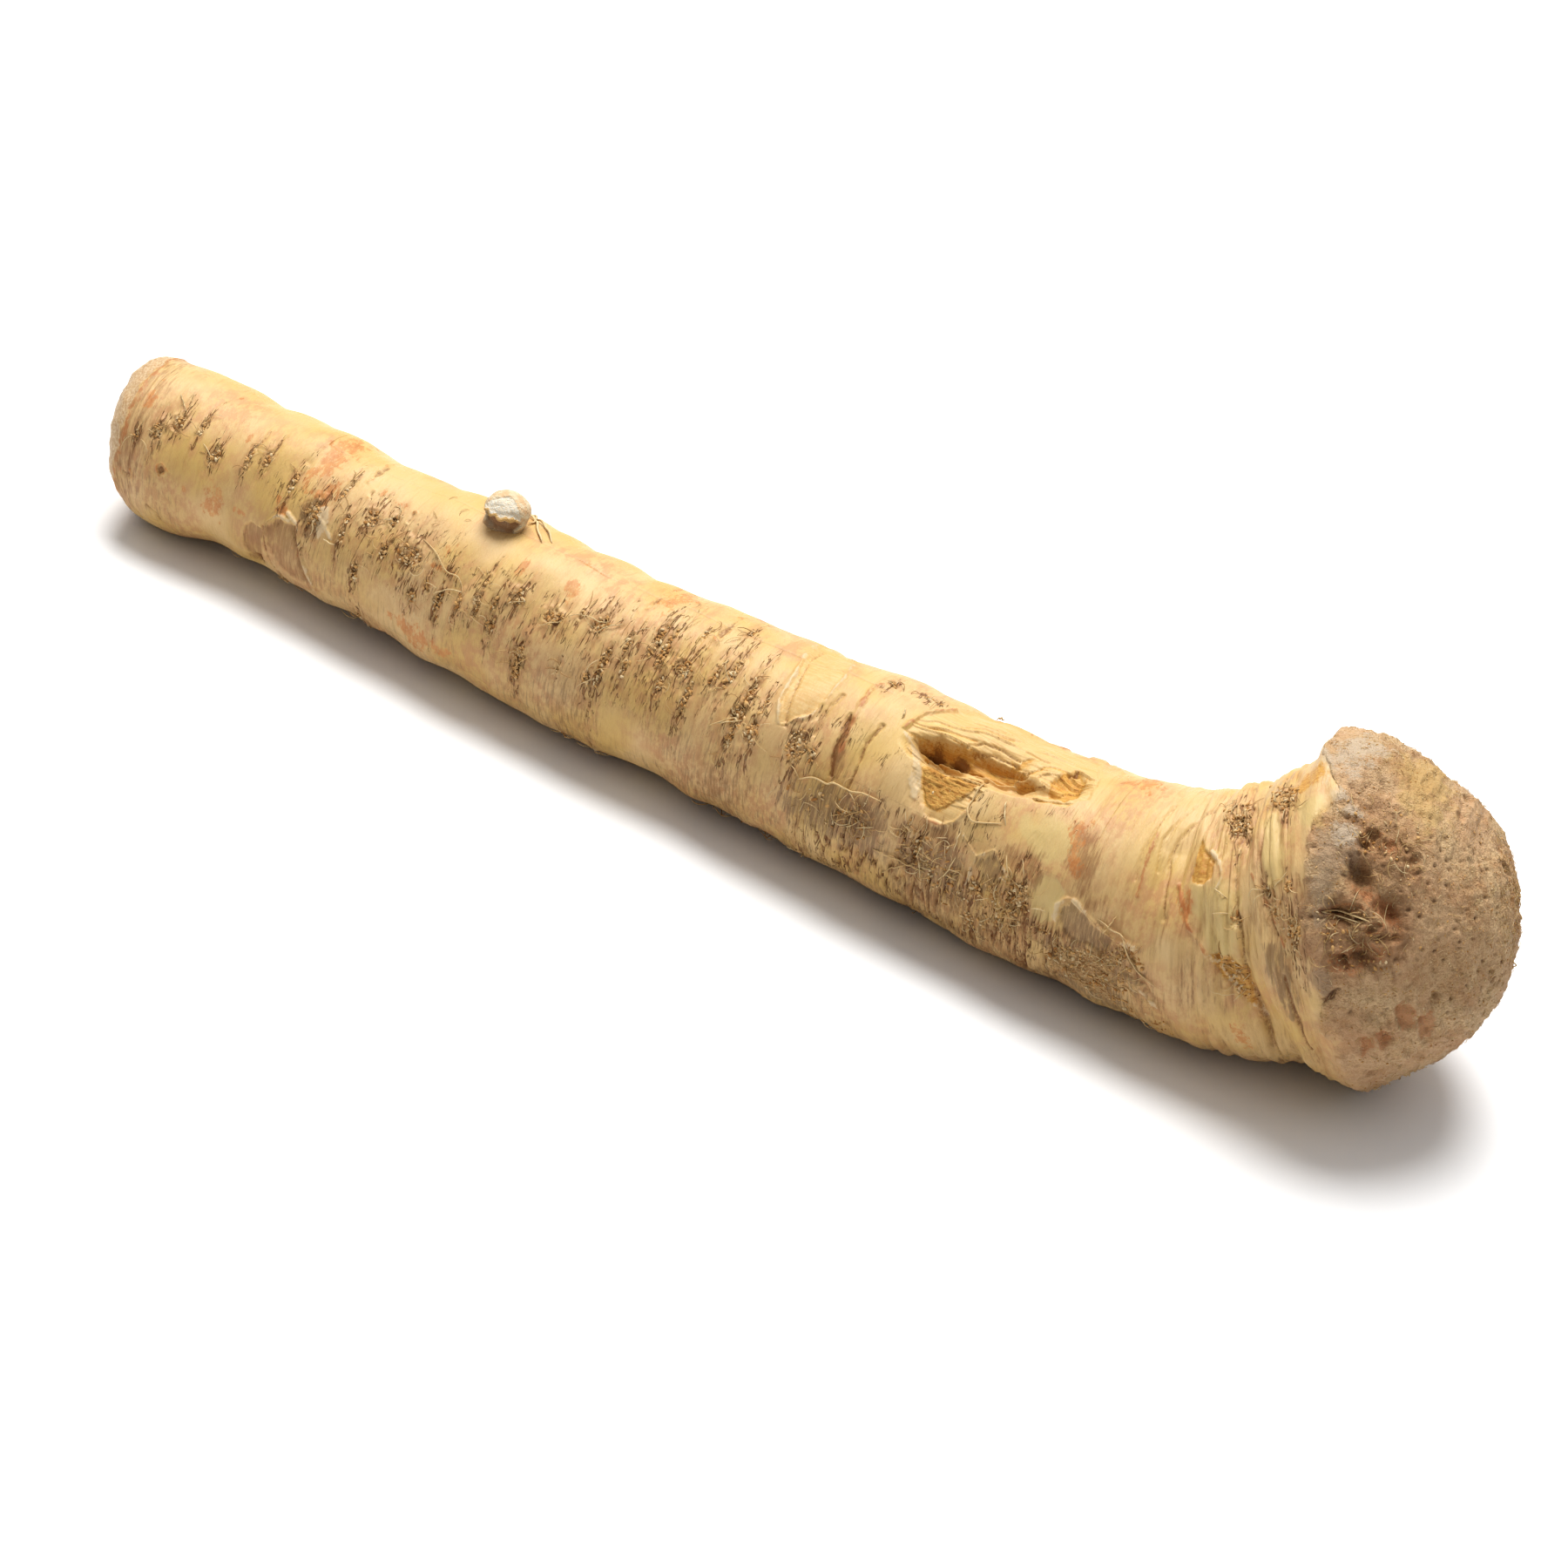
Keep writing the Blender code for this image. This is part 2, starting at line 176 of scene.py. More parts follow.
# Broken face of the bulb: its bearing from the front towards the crown, its half width, and
# where it starts and ends above the level of the bulb's middle, in degrees
STUB_MIDDLE = 2.5
STUB_FACE = {"bearing": 11.0, "half": 55.0, "low": 11.0, "high": 80.0}

# How far the toothed edge of the face stands out, and the rings and columns of the bulb's mesh
STUB_TOOTH = 0.5
STUB_GRID = (64, 84)

# Part's origin: the level that the root rests on, and the middle of its plan
REST_LEVEL = -13.55
MIDDLE = (140.0, 6.4)
ORIGIN = np.array([*MIDDLE, REST_LEVEL])

# Angle at which the tables of angles and the columns of the closed meshes start
SEAM = -150.0

# Meshes: rings along the outline, columns round it, and where each is closer than elsewhere
SKIN_RINGS = 480
SKIN_COLUMNS = 150
SKIN_RING_FOCUS = ((262.0, 12.0, 0.6), (292.0, 14.0, -0.3))
CROWN_RINGS = 190
CROWN_COLUMNS = 350
CROWN_RING_FOCUS = ((285.0, 8.0, 0.5),)
CROWN_COLUMN_FOCUS = ((60.0, 70.0, 1.0),)
CROWN_START = 253.0

# Finer pieces let into the skin: lowest and highest arc, lowest and highest angle, rings, columns
WINDOWS = {
    "end_skin": (5.0, 41.5, -25.0, 122.0, 150, 190),
    "shaft_skin": (40.0, 167.5, 0.0, 118.0, 440, 200),
    "gouge_flesh": (166.0, 216.0, -14.0, 62.0, 270, 200),
    "dirty_skin": (166.0, 216.5, 57.5, 128.0, 220, 120),
    "neck_skin": (215.0, 254.0, -25.0, 140.0, 180, 230),
}

# How far the windows and the edge of the crown's shell stand over the skin, and how deep the
# skin is sunk under them
WINDOW_OVER = 0.03
CROWN_OVER = 0.15
SUNK = 1.6

# Flat map of a mesh: where its two strips and the fans of the tips lie, as shares of the map
MAP_START = 0.01
MAP_LENGTH = 0.94
MAP_SIDE = 0.03
MAP_WIDTH = 0.43
MAP_STEP = 0.5
FAN_START = 0.96
FAN_LENGTH = 0.03

# Rim: the arc at each angle where the skin ends and the crown's bare tissue starts
RIM = (
    (-150, 257.5), (-100, 258.5), (-50, 259.0), (-20, 259.2), (2, 259.4), (20, 261.7),
    (37, 258.0), (52, 256.5), (90, 256.5), (136, 256.5), (180, 257.5), (210, 257.5),
)
RIM_RAGGED = 1.5
RIM_SOFT = ((-150, 1.6), (-60, 1.0), (0, 0.7), (55, 0.9), (95, 2.6), (140, 3.2), (210, 1.6))

# Cut end: the arc at each angle where the cut face meets the skin
CUT_EDGE = (
    (-150, 0.4), (-60, 1.4), (0, 2.4), (40, 2.8), (75, 2.4), (96, 0.6), (118, -0.8), (210, -0.6),
)

# Bare flesh round the gouge, given as the hollows are, and its flakes: how wide one is, how
# much their border leans per mm, how far it wanders in flakes, how long a flake is, and the
# height of its thin and of its thick side
BARE = (191.0, 19.0, 27.0, 14.0, 1.0, -10.0)
FLAKE_WIDTH = 2.2
FLAKE_LEAN = 0.08
FLAKE_WANDER = 1.1
FLAKE_LENGTH = 6.0
FLAKE_SIDES = (-0.3, 0.5)

# How deep the pleats and the wrinkles are, and how thick the dirt and the painted shade of the lower side
# are, at each arc
PLEATS = (
    (-10, 0.0), (200, 0.0), (213, 0.02), (226, 0.25), (240, 0.55), (252, 0.5), (257, 0.2),
    (260, 0.0), (300, 0.0),
)
WRINKLES = ((-10, 0.03), (150, 0.03), (205, 0.06), (226, 0.13), (240, 0.22), (300, 0.22))
DIRT_AND_SHADE = (
    (-10, 0.6), (40, 0.6), (80, 0.7), (130, 0.9), (160, 1.0), (215, 1.0), (232, 0.6), (256, 0.5),
    (290, 0.3),
)

# Marks strewn where the photograph doesn't show them: how many, lowest and highest arc, and
# the angles between which there are none
HIDDEN_SCARS = (95, 8.0, 232.0, -65.0, 128.0)
HIDDEN_STAINS = (26, 5.0, 235.0, -32.0, 122.0)
HIDDEN_PITS = (34, 260.0, 285.0, -60.0, 125.0)
HIDDEN_KINDS = {"crumbs": 0.55, "dark": 0.25, "pink": 0.1, "eye": 0.1}

# Loose bits: the greatest chance of one at a point of the skin's or the crown's mesh
SKIN_CHANCE = 0.06
CROWN_CHANCE = 0.025

# Crumbs: least and greatest size by where they lie, and how many a scar has, at the least and
# for each square mm of half length times half width
CRUMB_SIZES = {
    "scar": (0.2, 0.5), "torn skin": (0.14, 0.36), "tangle": (0.16, 0.5), "crown": (0.10, 0.24),
    "crown tangle": (0.2, 0.45),
}
SCAR_CRUMBS = (8, 5.0)

# Hairs: how much wider the long ones are than listed, points along one, and sides round one;
# then how many short ones a scar has, the short ones' and the felt's lengths and radii, and
# how much longer the felt is in a tangle
LONG_HAIR_GAIN = 1.3
LONG_HAIR_STEPS = 28
SHORT_HAIR_STEPS = 7
HAIR_SIDES = {"long": 6, "short": 4, "felt": 3}
SCAR_HAIRS = 4
SHORT_LENGTHS = (1.4, 5.0)
SHORT_RADII = (0.05, 0.10)
FELT_LENGTHS = (0.6, 2.2)
FELT_RADII = (0.03, 0.06)
FELT_TANGLE_GAIN = 2.2

# Looking for the place at a pixel: the least that a surface faces the camera, as a cosine, and
# what is added to the distance, in pixels, where it faces less
LEAST_FACING = 0.1
HIDDEN_AWAY = 1e4

# Lines: how far from one its marks can reach, and the distance given beyond that
LINE_REACH = 5.0
LINE_BEYOND = 99.0

# Kinds of mark that a place can carry, each from 0 to 1, in threes; the dirt mark on the lower side is
# also painted shade, and the dark mark is mostly painted shade in hollows, creases, cracks, pits and
# pores
KINDS = (
    ("stain", "dirt_and_shade", "pale"), ("flesh", "dark", "crown"), ("scar", "green", "red"),
    ("slit", "blush", "cut"), ("ochre", "brown", "grey"),
)

# Scars that the photograph shows: kind, depth, and boxes as left, top, right, bottom; an eye is
# small, round and smooth, and the other kinds are crumbly
SCARS = (
    ("crumbs", 0.35, ((153, 491, 161, 505), (174, 482, 191, 505), (197, 474, 216, 495),
        (224, 480, 237, 505), (237, 512, 254, 532), (276, 516, 291, 541), (300, 514, 316, 535),
        (327, 539, 346, 572), (346, 570, 374, 609), (391, 554, 404, 576), (393, 589, 404, 606),
        (382, 606, 395, 635), (415, 584, 439, 609), (445, 591, 459, 604), (483, 665, 495, 680),
        (495, 676, 508, 720), (552, 661, 563, 680), (561, 683, 570, 707), (581, 676, 606, 702),
        (556, 706, 569, 735), (585, 739, 600, 759), (622, 697, 653, 720), (662, 701, 672, 712),
        (676, 699, 702, 729), (668, 768, 680, 793), (714, 728, 729, 750), (708, 752, 724, 781),
        (743, 710, 764, 760), (752, 718, 779, 773), (769, 752, 802, 779), (810, 760, 827, 794),
        (827, 754, 856, 796), (833, 808, 860, 840), (857, 771, 867, 813), (838, 807, 849, 828),
        (871, 797, 887, 824), (851, 824, 873, 862), (898, 830, 930, 875), (924, 856, 938, 877),
        (1107, 1010, 1126, 1027), (1135, 1015, 1147, 1036), (1147, 1006, 1181, 1061),
        (1135, 1044, 1147, 1069), (1179, 1061, 1210, 1076), (1459, 899, 1489, 929),
        (1411, 1047, 1425, 1071), (1446, 1018, 1456, 1030), (1474, 1051, 1493, 1100),
        (1456, 1036, 1466, 1048))),
    ("dark", 0.6, ((522, 678, 533, 706), (535, 680, 552, 707), (400, 646, 411, 670), (434, 621, 448, 643),
        (463, 674, 478, 693), (683, 733, 697, 798), (745, 770, 764, 808), (773, 775, 796, 827),
        (824, 830, 842, 871), (859, 720, 867, 730), (636, 764, 641, 772), (808, 724, 813, 733),
        (1057, 798, 1084, 808), (1032, 937, 1045, 968), (1046, 955, 1059, 998), (1408, 921, 1435, 957),
        (1447, 1010, 1456, 1027), (1472, 1010, 1481, 1027))),
    ("pink", 0.4, ((447, 617, 487, 654), (586, 735, 599, 787), (855, 791, 867, 813),
        (1105, 1044, 1118, 1069), (1019, 780, 1036, 789))),
    ("eye", 0.25, ((139, 538, 151, 549), (179, 536, 191, 547), (430, 532, 450, 547), (467, 589, 478, 602),
        (423, 560, 431, 570), (829, 710, 848, 731), (748, 684, 759, 696))),
)

# Stains that the photograph shows, as boxes
STAINS = (
    (165, 440, 186, 467), (235, 555, 255, 593), (249, 593, 258, 610), (207, 556, 214, 568),
    (310, 572, 333, 593), (268, 581, 279, 589), (277, 451, 291, 456), (251, 445, 262, 452),
    (283, 499, 293, 512), (361, 495, 417, 554), (356, 554, 385, 583), (435, 560, 448, 572),
    (450, 571, 469, 582), (502, 624, 522, 643), (493, 646, 520, 661), (591, 643, 613, 662),
    (456, 709, 489, 743), (496, 739, 524, 757), (674, 649, 701, 661), (643, 666, 666, 689),
    (771, 678, 802, 693), (1297, 891, 1348, 904), (1415, 1179, 1430, 1206), (1355, 1018, 1363, 1066),
)

# Patches: kind of mark, height of the place above the skin, softness of its edge, outline
# A dark patch is painted shade in a sunken place.
PATCHES = (
    ("pale", -0.1, 0.8, ((121, 489), (134, 489), (136, 512), (123, 514))),
    ("brown", -0.5, 0.4, ((281, 604), (290, 599), (300, 606), (301, 625), (303, 645), (296, 649),
        (286, 636), (281, 620))),
    ("dark", -0.6, 0.4, ((293, 638), (302, 640), (304, 648), (296, 649))),
    ("brown", -0.3, 0.4, ((306, 604), (320, 597), (336, 603), (341, 625), (346, 650), (359, 674),
        (335, 662), (316, 640), (307, 622))),
    ("grey", -0.2, 0.8, ((344, 583), (358, 573), (374, 578), (372, 600), (362, 619), (348, 612))),
    ("pale", 0.2, 0.4, ((361, 585), (378, 582), (379, 600), (366, 619), (363, 604))),
    ("flesh", -0.3, 0.35, ((895, 830), (897, 803), (912, 773), (926, 752), (942, 742), (971, 748),
        (981, 760), (971, 775), (951, 799), (932, 818), (898, 832))),
    ("brown", -0.35, 0.4, ((951, 893), (954, 868), (964, 845), (974, 822), (980, 826), (972, 852),
        (966, 880), (960, 896))),
    ("flesh", -0.3, 0.35, ((1039, 840), (1062, 820), (1092, 817), (1125, 820), (1161, 829), (1204, 846),
        (1226, 862), (1262, 880), (1262, 898), (1248, 915), (1224, 925), (1190, 922), (1160, 908),
        (1130, 903), (1110, 928), (1088, 947), (1062, 940), (1052, 905), (1045, 870))),
    ("ochre", -2.4, 0.45, ((1048, 849), (1080, 849), (1107, 857), (1143, 870), (1168, 880), (1178, 892),
        (1163, 898), (1130, 891), (1097, 880), (1069, 870), (1056, 861))),
    # Painted shade deep in the gouge's pocket.
    ("dark", -0.5, 1.1, ((1058, 853), (1075, 851), (1098, 857), (1116, 868), (1100, 872), (1078, 866),
        (1063, 861))),
    ("ochre", -0.9, 0.4, ((1162, 898), (1182, 899), (1190, 907), (1176, 909))),
    ("ochre", -0.5, 0.5, ((1205, 900), (1222, 884), (1240, 884), (1246, 896), (1238, 915), (1220, 921),
        (1206, 914))),
    ("dark", -0.5, 0.4, ((1226, 886), (1235, 885), (1238, 890), (1230, 894))),
    ("scar", 0.2, 0.4, ((1060, 882), (1076, 882), (1082, 892), (1122, 902), (1102, 918), (1074, 932),
        (1064, 925), (1059, 902))),
    ("ochre", 0.0, 0.5, ((1059, 880), (1078, 881), (1084, 892), (1124, 902), (1103, 920), (1074, 934),
        (1062, 926), (1057, 902))),
    ("pale", 0.25, 0.35, ((1038, 840), (1046, 846), (1055, 862), (1060, 872), (1059, 890), (1060, 907),
        (1051, 915), (1042, 913), (1048, 890), (1047, 867))),
    ("green", 0.0, 1.4, ((1176, 938), (1224, 943), (1232, 966), (1224, 984), (1199, 999), (1184, 979),
        (1173, 958))),
    ("green", -0.2, 0.6, ((1199, 1002), (1217, 1009), (1222, 1022), (1204, 1058), (1194, 1063),
        (1184, 1055), (1186, 1030), (1191, 1009))),
    ("brown", 0.0, 1.6, ((1150, 968), (1178, 975), (1194, 989), (1199, 1004), (1189, 1015), (1178, 1008),
        (1160, 990))),
    ("stain", 0.0, 1.4, ((1232, 943), (1263, 941), (1242, 958), (1240, 990), (1232, 1010), (1227, 984),
        (1235, 964))),
    ("brown", 0.0, 1.8, ((1240, 950), (1256, 966), (1263, 992), (1260, 1030), (1268, 1047), (1245, 1037),
        (1229, 1017), (1230, 980))),
    ("grey", -0.45, 0.35, ((1217, 1043), (1230, 1035), (1255, 1063), (1278, 1078), (1265, 1094),
        (1230, 1081), (1217, 1068))),
    ("scar", -0.2, 1.2, ((1204, 1085), (1230, 1088), (1268, 1097), (1290, 1100), (1300, 1118),
        (1280, 1118), (1262, 1128), (1280, 1152), (1255, 1142), (1224, 1119), (1203, 1106))),
    ("grey", 0.0, 2.0, ((1200, 1078), (1240, 1083), (1300, 1092), (1308, 1124), (1286, 1130),
        (1290, 1162), (1255, 1148), (1215, 1120))),
    ("grey", -0.2, 2.0, ((1030, 950), (1088, 955), (1104, 985), (1100, 1030), (1060, 1015), (1032, 990))),
    ("grey", -0.1, 2.2, ((890, 905), (940, 898), (1005, 915), (1018, 950), (1010, 985), (960, 965),
        (900, 935))),
    ("brown", -0.3, 0.5, ((1061, 942), (1078, 950), (1096, 946), (1098, 965), (1078, 972), (1064, 962))),
    ("grey", -0.25, 1.3, ((1124, 984), (1138, 980), (1152, 1004), (1147, 1017), (1126, 1017))),
    ("ochre", -0.4, 0.35, ((1380, 966), (1386, 976), (1392, 990), (1386, 1006), (1378, 1016),
        (1367, 1012), (1370, 996), (1374, 980))),
    ("blush", 0.1, 0.4, ((1388, 978), (1398, 984), (1401, 1000), (1396, 1016), (1388, 1018),
        (1392, 1000))),
    ("green", -0.1, 1.2, ((1367, 1018), (1400, 1014), (1422, 1020), (1425, 1080), (1415, 1097),
        (1395, 1100), (1378, 1070))),
    ("green", 0.0, 1.0, ((1452, 932), (1466, 930), (1471, 960), (1470, 1010), (1455, 1014), (1448, 985))),
    ("green", 0.0, 1.0, ((1488, 925), (1512, 912), (1521, 925), (1518, 948), (1498, 952))),
    ("stain", 0.0, 0.6, ((1352, 1018), (1362, 1022), (1366, 1046), (1362, 1066), (1354, 1060))),
    ("ochre", -0.5, 0.4, ((1388, 1098), (1410, 1098), (1428, 1110), (1445, 1150), (1440, 1160),
        (1420, 1135), (1400, 1117))),
    ("grey", 0.1, 1.0, ((1447, 1085), (1462, 1080), (1478, 1105), (1489, 1150), (1482, 1168),
        (1466, 1140), (1452, 1115))),
    ("brown", 0.0, 1.6, ((1480, 1000), (1500, 1010), (1504, 1060), (1512, 1110), (1500, 1120),
        (1488, 1070))),
    ("pale", 0.1, 1.2, ((1530, 950), (1552, 946), (1562, 958), (1550, 970), (1534, 972))),
    ("grey", 0.2, 1.6, ((1512, 965), (1535, 947), (1560, 948), (1562, 985), (1540, 1005), (1520, 1060),
        (1508, 1050), (1514, 1000))),
    ("brown", -0.2, 2.4, ((1555, 925), (1590, 915), (1618, 960), (1630, 1010), (1622, 1080), (1600, 1115),
        (1525, 1115), (1518, 1060), (1545, 1000))),
    ("stain", -0.3, 0.5, ((1600, 1156), (1612, 1148), (1624, 1160), (1622, 1176), (1608, 1184))),
    ("stain", -0.3, 0.5, ((1626, 1168), (1640, 1160), (1648, 1174), (1640, 1190), (1628, 1192))),
    ("stain", -0.2, 0.5, ((1580, 1186), (1594, 1182), (1599, 1194), (1586, 1202))),
    ("stain", -0.2, 0.5, ((1560, 1196), (1572, 1190), (1576, 1202), (1564, 1210))),
    ("grey", 0.35, 0.8, ((1498, 1112), (1515, 1106), (1530, 1125), (1526, 1144), (1508, 1140))),
    ("dark", -0.5, 0.4, ((1505, 1143), (1520, 1146), (1532, 1136), (1531, 1147), (1516, 1151))),
    ("stain", -0.2, 1.0, ((1555, 1022), (1575, 1020), (1590, 1036), (1610, 1047), (1612, 1068),
        (1596, 1066), (1580, 1048), (1562, 1034))),
    ("ochre", 0.0, 0.6, ((1486, 905), (1500, 888), (1518, 874), (1520, 886), (1508, 902), (1494, 912))),
    # The yellowish patch on top of the crown is partly painted highlight.
    ("green", 0.1, 3.5, ((1590, 870), (1640, 878), (1668, 915), (1655, 955), (1625, 945), (1600, 915))),
    ("pale", 0.1, 3.0, ((1532, 852), (1570, 845), (1596, 862), (1566, 892), (1538, 890))),
    ("blush", 0.0, 4.0, ((1490, 1165), (1560, 1165), (1600, 1215), (1560, 1245), (1520, 1240))),
)

# Pits in the crown: left, top, right, bottom, depth in mm
PITS = (
    (1546, 990, 1577, 1029, 0.6), (1584, 1031, 1615, 1074, 0.6), (1541, 1084, 1589, 1109, 0.8),
    (1526, 1093, 1545, 1110, 1.0), (1570, 1058, 1590, 1073, 0.9), (1571, 951, 1589, 966, 0.7),
    (1588, 965, 1606, 984, 0.9), (1560, 965, 1575, 980, 0.6), (1612, 985, 1628, 1010, 0.6),
    (1600, 1148, 1624, 1182, 0.5), (1625, 1160, 1648, 1192, 0.5), (1580, 1182, 1599, 1200, 0.45),
    (1608, 1198, 1622, 1213, 0.5), (1645, 1130, 1657, 1148, 0.5), (1555, 1190, 1578, 1208, 0.4),
    (1679, 914, 1689, 926, 0.6), (1670, 934, 1680, 946, 0.6), (1724, 990, 1736, 1010, 0.6),
    (1625, 1000, 1632, 1010, 0.4), (1598, 925, 1606, 935, 0.4), (1630, 895, 1642, 915, 0.4),
    (1518, 1040, 1560, 1052, 0.9),
)

# Raised edges: kind of mark, height, half width in mm, line
EDGES = (
    ("red", 0.35, 0.5, ((199, 421), (174, 434), (163, 445), (153, 463), (136, 482))),
    ("pale", 0.25, 0.5, ((360, 582), (372, 600), (378, 619))),
    ("pale", 0.5, 0.4, ((330, 590), (341, 602), (343, 630), (350, 655), (365, 680))),
    ("pale", 0.5, 0.4, ((303, 612), (306, 598), (320, 590), (334, 598))),
    ("pale", 0.5, 0.4, ((895, 832), (897, 803), (912, 773), (926, 752), (942, 742), (971, 748),
        (981, 760))),
    ("pale", 0.4, 0.35, ((898, 834), (932, 820), (951, 801), (971, 777), (983, 762))),
    ("red", 0.35, 0.6, ((1034, 785), (1004, 791), (987, 815), (971, 842), (961, 875))),
    ("red", 0.35, 0.5, ((1040, 835), (1062, 819), (1092, 815), (1125, 818), (1161, 828), (1204, 844),
        (1228, 860))),
    ("flesh", 0.55, 0.9, ((1062, 870), (1085, 878), (1110, 888), (1140, 899), (1170, 906))),
    ("pale", 0.5, 0.5, ((1256, 867), (1270, 874), (1282, 880), (1289, 886))),
    ("red", 0.3, 0.5, ((1061, 940), (1078, 948), (1096, 944), (1108, 932))),
    ("pale", 0.3, 0.4, ((1107, 962), (1122, 983), (1114, 1004), (1105, 1023))),
    ("pale", 0.3, 0.4, ((1122, 983), (1139, 977), (1156, 1004), (1147, 1010))),
    ("pale", 0.5, 0.6, ((1212, 1055), (1214, 1040), (1224, 1030), (1235, 1035), (1247, 1050),
        (1265, 1068), (1283, 1078), (1301, 1089))),
    ("red", 0.3, 0.4, ((1353, 1018), (1357, 1040), (1362, 1060), (1372, 1078), (1384, 1098))),
    ("pale", 0.3, 0.4, ((1384, 1098), (1406, 1117), (1425, 1141), (1445, 1160), (1462, 1182))),
    ("red", 0.2, 0.4, ((1336, 940), (1328, 957), (1319, 981), (1307, 1030))),
    ("red", 0.2, 0.35, ((1437, 1005), (1446, 1030), (1454, 1054), (1474, 1093))),
    ("pale", 0.3, 0.5, ((1391, 976), (1401, 990), (1402, 1005), (1396, 1018))),
    ("pale", 0.25, 0.4, ((1300, 1128), (1318, 1148), (1328, 1160))),
    ("pale", 0.6, 1.6, ((1521, 859), (1523, 873), (1530, 900), (1545, 926), (1556, 938))),
)

# Creases: darkness of the painted shade in them, depth, half width in mm, line
CREASES = (
    (0.5, 0.3, 0.3, ((169, 579), (178, 588), (186, 599))),
    (0.5, 0.3, 0.3, ((153, 581), (158, 587), (163, 593))),
    (0.6, 0.4, 0.35, ((300, 604), (304, 622), (308, 642), (318, 662))),
    (0.6, 0.4, 0.35, ((338, 604), (339, 630), (346, 655), (360, 682))),
    (0.5, 0.4, 0.3, ((902, 832), (905, 806), (918, 777), (932, 757), (946, 748))),
    (0.5, 0.4, 0.35, ((1394, 930), (1370, 946), (1353, 962), (1345, 982), (1341, 1005), (1336, 1054))),
    (0.35, 0.3, 0.3, ((1375, 925), (1352, 942), (1336, 965), (1326, 1000))),
    (0.35, 0.3, 0.3, ((1350, 925), (1330, 945), (1314, 975), (1305, 1010))),
    (0.5, 0.6, 0.45, ((1435, 925), (1425, 957), (1418, 981), (1418, 1030), (1423, 1071), (1435, 1127),
        (1450, 1175), (1474, 1219))),
    (0.7, 0.5, 0.3, ((1474, 1118), (1483, 1153), (1492, 1179), (1505, 1205))),
    (0.5, 0.4, 0.3, ((1462, 920), (1450, 950), (1443, 985), (1447, 1030), (1462, 1075))),
    (0.5, 0.4, 0.3, ((1490, 1010), (1488, 1050), (1494, 1095), (1502, 1140))),
    (0.8, 0.5, 0.4, ((951, 891), (958, 860), (968, 838), (975, 820))),
    (0.4, 0.4, 0.4, ((934, 844), (945, 825), (955, 810), (967, 799))),
    (0.6, 0.4, 0.4, ((975, 905), (983, 885), (995, 856), (1012, 832))),
    (0.6, 0.5, 0.35, ((1082, 892), (1100, 893), (1118, 896), (1134, 899))),
    (0.5, 0.35, 0.3, ((1112, 856), (1130, 854), (1150, 862), (1172, 872))),
    (0.5, 0.35, 0.3, ((1120, 862), (1140, 866), (1165, 876), (1181, 887))),
    (0.4, 0.3, 0.3, ((1120, 828), (1140, 836), (1163, 842))),
    (0.4, 0.3, 0.3, ((1180, 862), (1196, 870), (1204, 873))),
    (0.7, 0.4, 0.35, ((1517, 1050), (1535, 1047), (1553, 1050), (1568, 1056))),
    (0.5, 0.5, 0.4, ((1300, 1098), (1306, 1120), (1318, 1140))),
)

# Root hairs seen in the photograph: radius in mm, line
HAIRS = (
    (0.1, ((206, 454), (209, 463), (212, 472))),
    (0.1, ((489, 619), (504, 637), (511, 657), (526, 663), (532, 678))),
    (0.09, ((500, 681), (515, 676), (530, 679))),
    (0.09, ((372, 620), (378, 621), (384, 626))),
    (0.09, ((557, 611), (580, 606), (605, 604))),
    (0.2, ((606, 592), (614, 600), (617, 608), (622, 622))),
    (0.2, ((608, 590), (620, 598), (627, 610), (635, 624))),
    (0.16, ((604, 590), (612, 586), (618, 592), (612, 600), (606, 604))),
    (0.09, ((617, 721), (631, 716), (645, 712))),
    (0.09, ((673, 709), (686, 713), (699, 716))),
    (0.09, ((683, 724), (700, 722), (716, 717))),
    (0.1, ((813, 833), (832, 829), (852, 823))),
    (0.09, ((820, 830), (836, 829), (851, 826))),
    (0.14, ((916, 894), (934, 893), (951, 901), (961, 897), (975, 907), (993, 911), (1014, 920))),
    (0.1, ((1039, 812), (1038, 820), (1035, 827))),
    (0.1, ((1145, 817), (1150, 822), (1153, 826))),
    (0.14, ((1130, 902), (1121, 914), (1113, 927), (1115, 938), (1122, 944), (1151, 945))),
    (0.12, ((1154, 918), (1155, 932), (1153, 946))),
    (0.12, ((1261, 1053), (1280, 1067), (1290, 1080), (1303, 1112), (1328, 1135))),
    (0.12, ((1000, 975), (1020, 980), (1045, 992), (1060, 1001))),
    (0.1, ((1012, 1003), (1030, 995), (1052, 993))),
    (0.1, ((1094, 975), (1101, 965), (1105, 955))),
    (0.1, ((1078, 1010), (1090, 1000), (1099, 985))),
    (0.1, ((1268, 1072), (1276, 1058), (1284, 1052))),
    (0.1, ((1737, 1104), (1741, 1108), (1745, 1113))),
    (0.12, ((1515, 1045), (1535, 1047), (1555, 1052), (1570, 1057))),
    (0.1, ((1518, 1050), (1540, 1053), (1562, 1058))),
    (0.09, ((1395, 1018), (1402, 1028), (1407, 1032))),
)

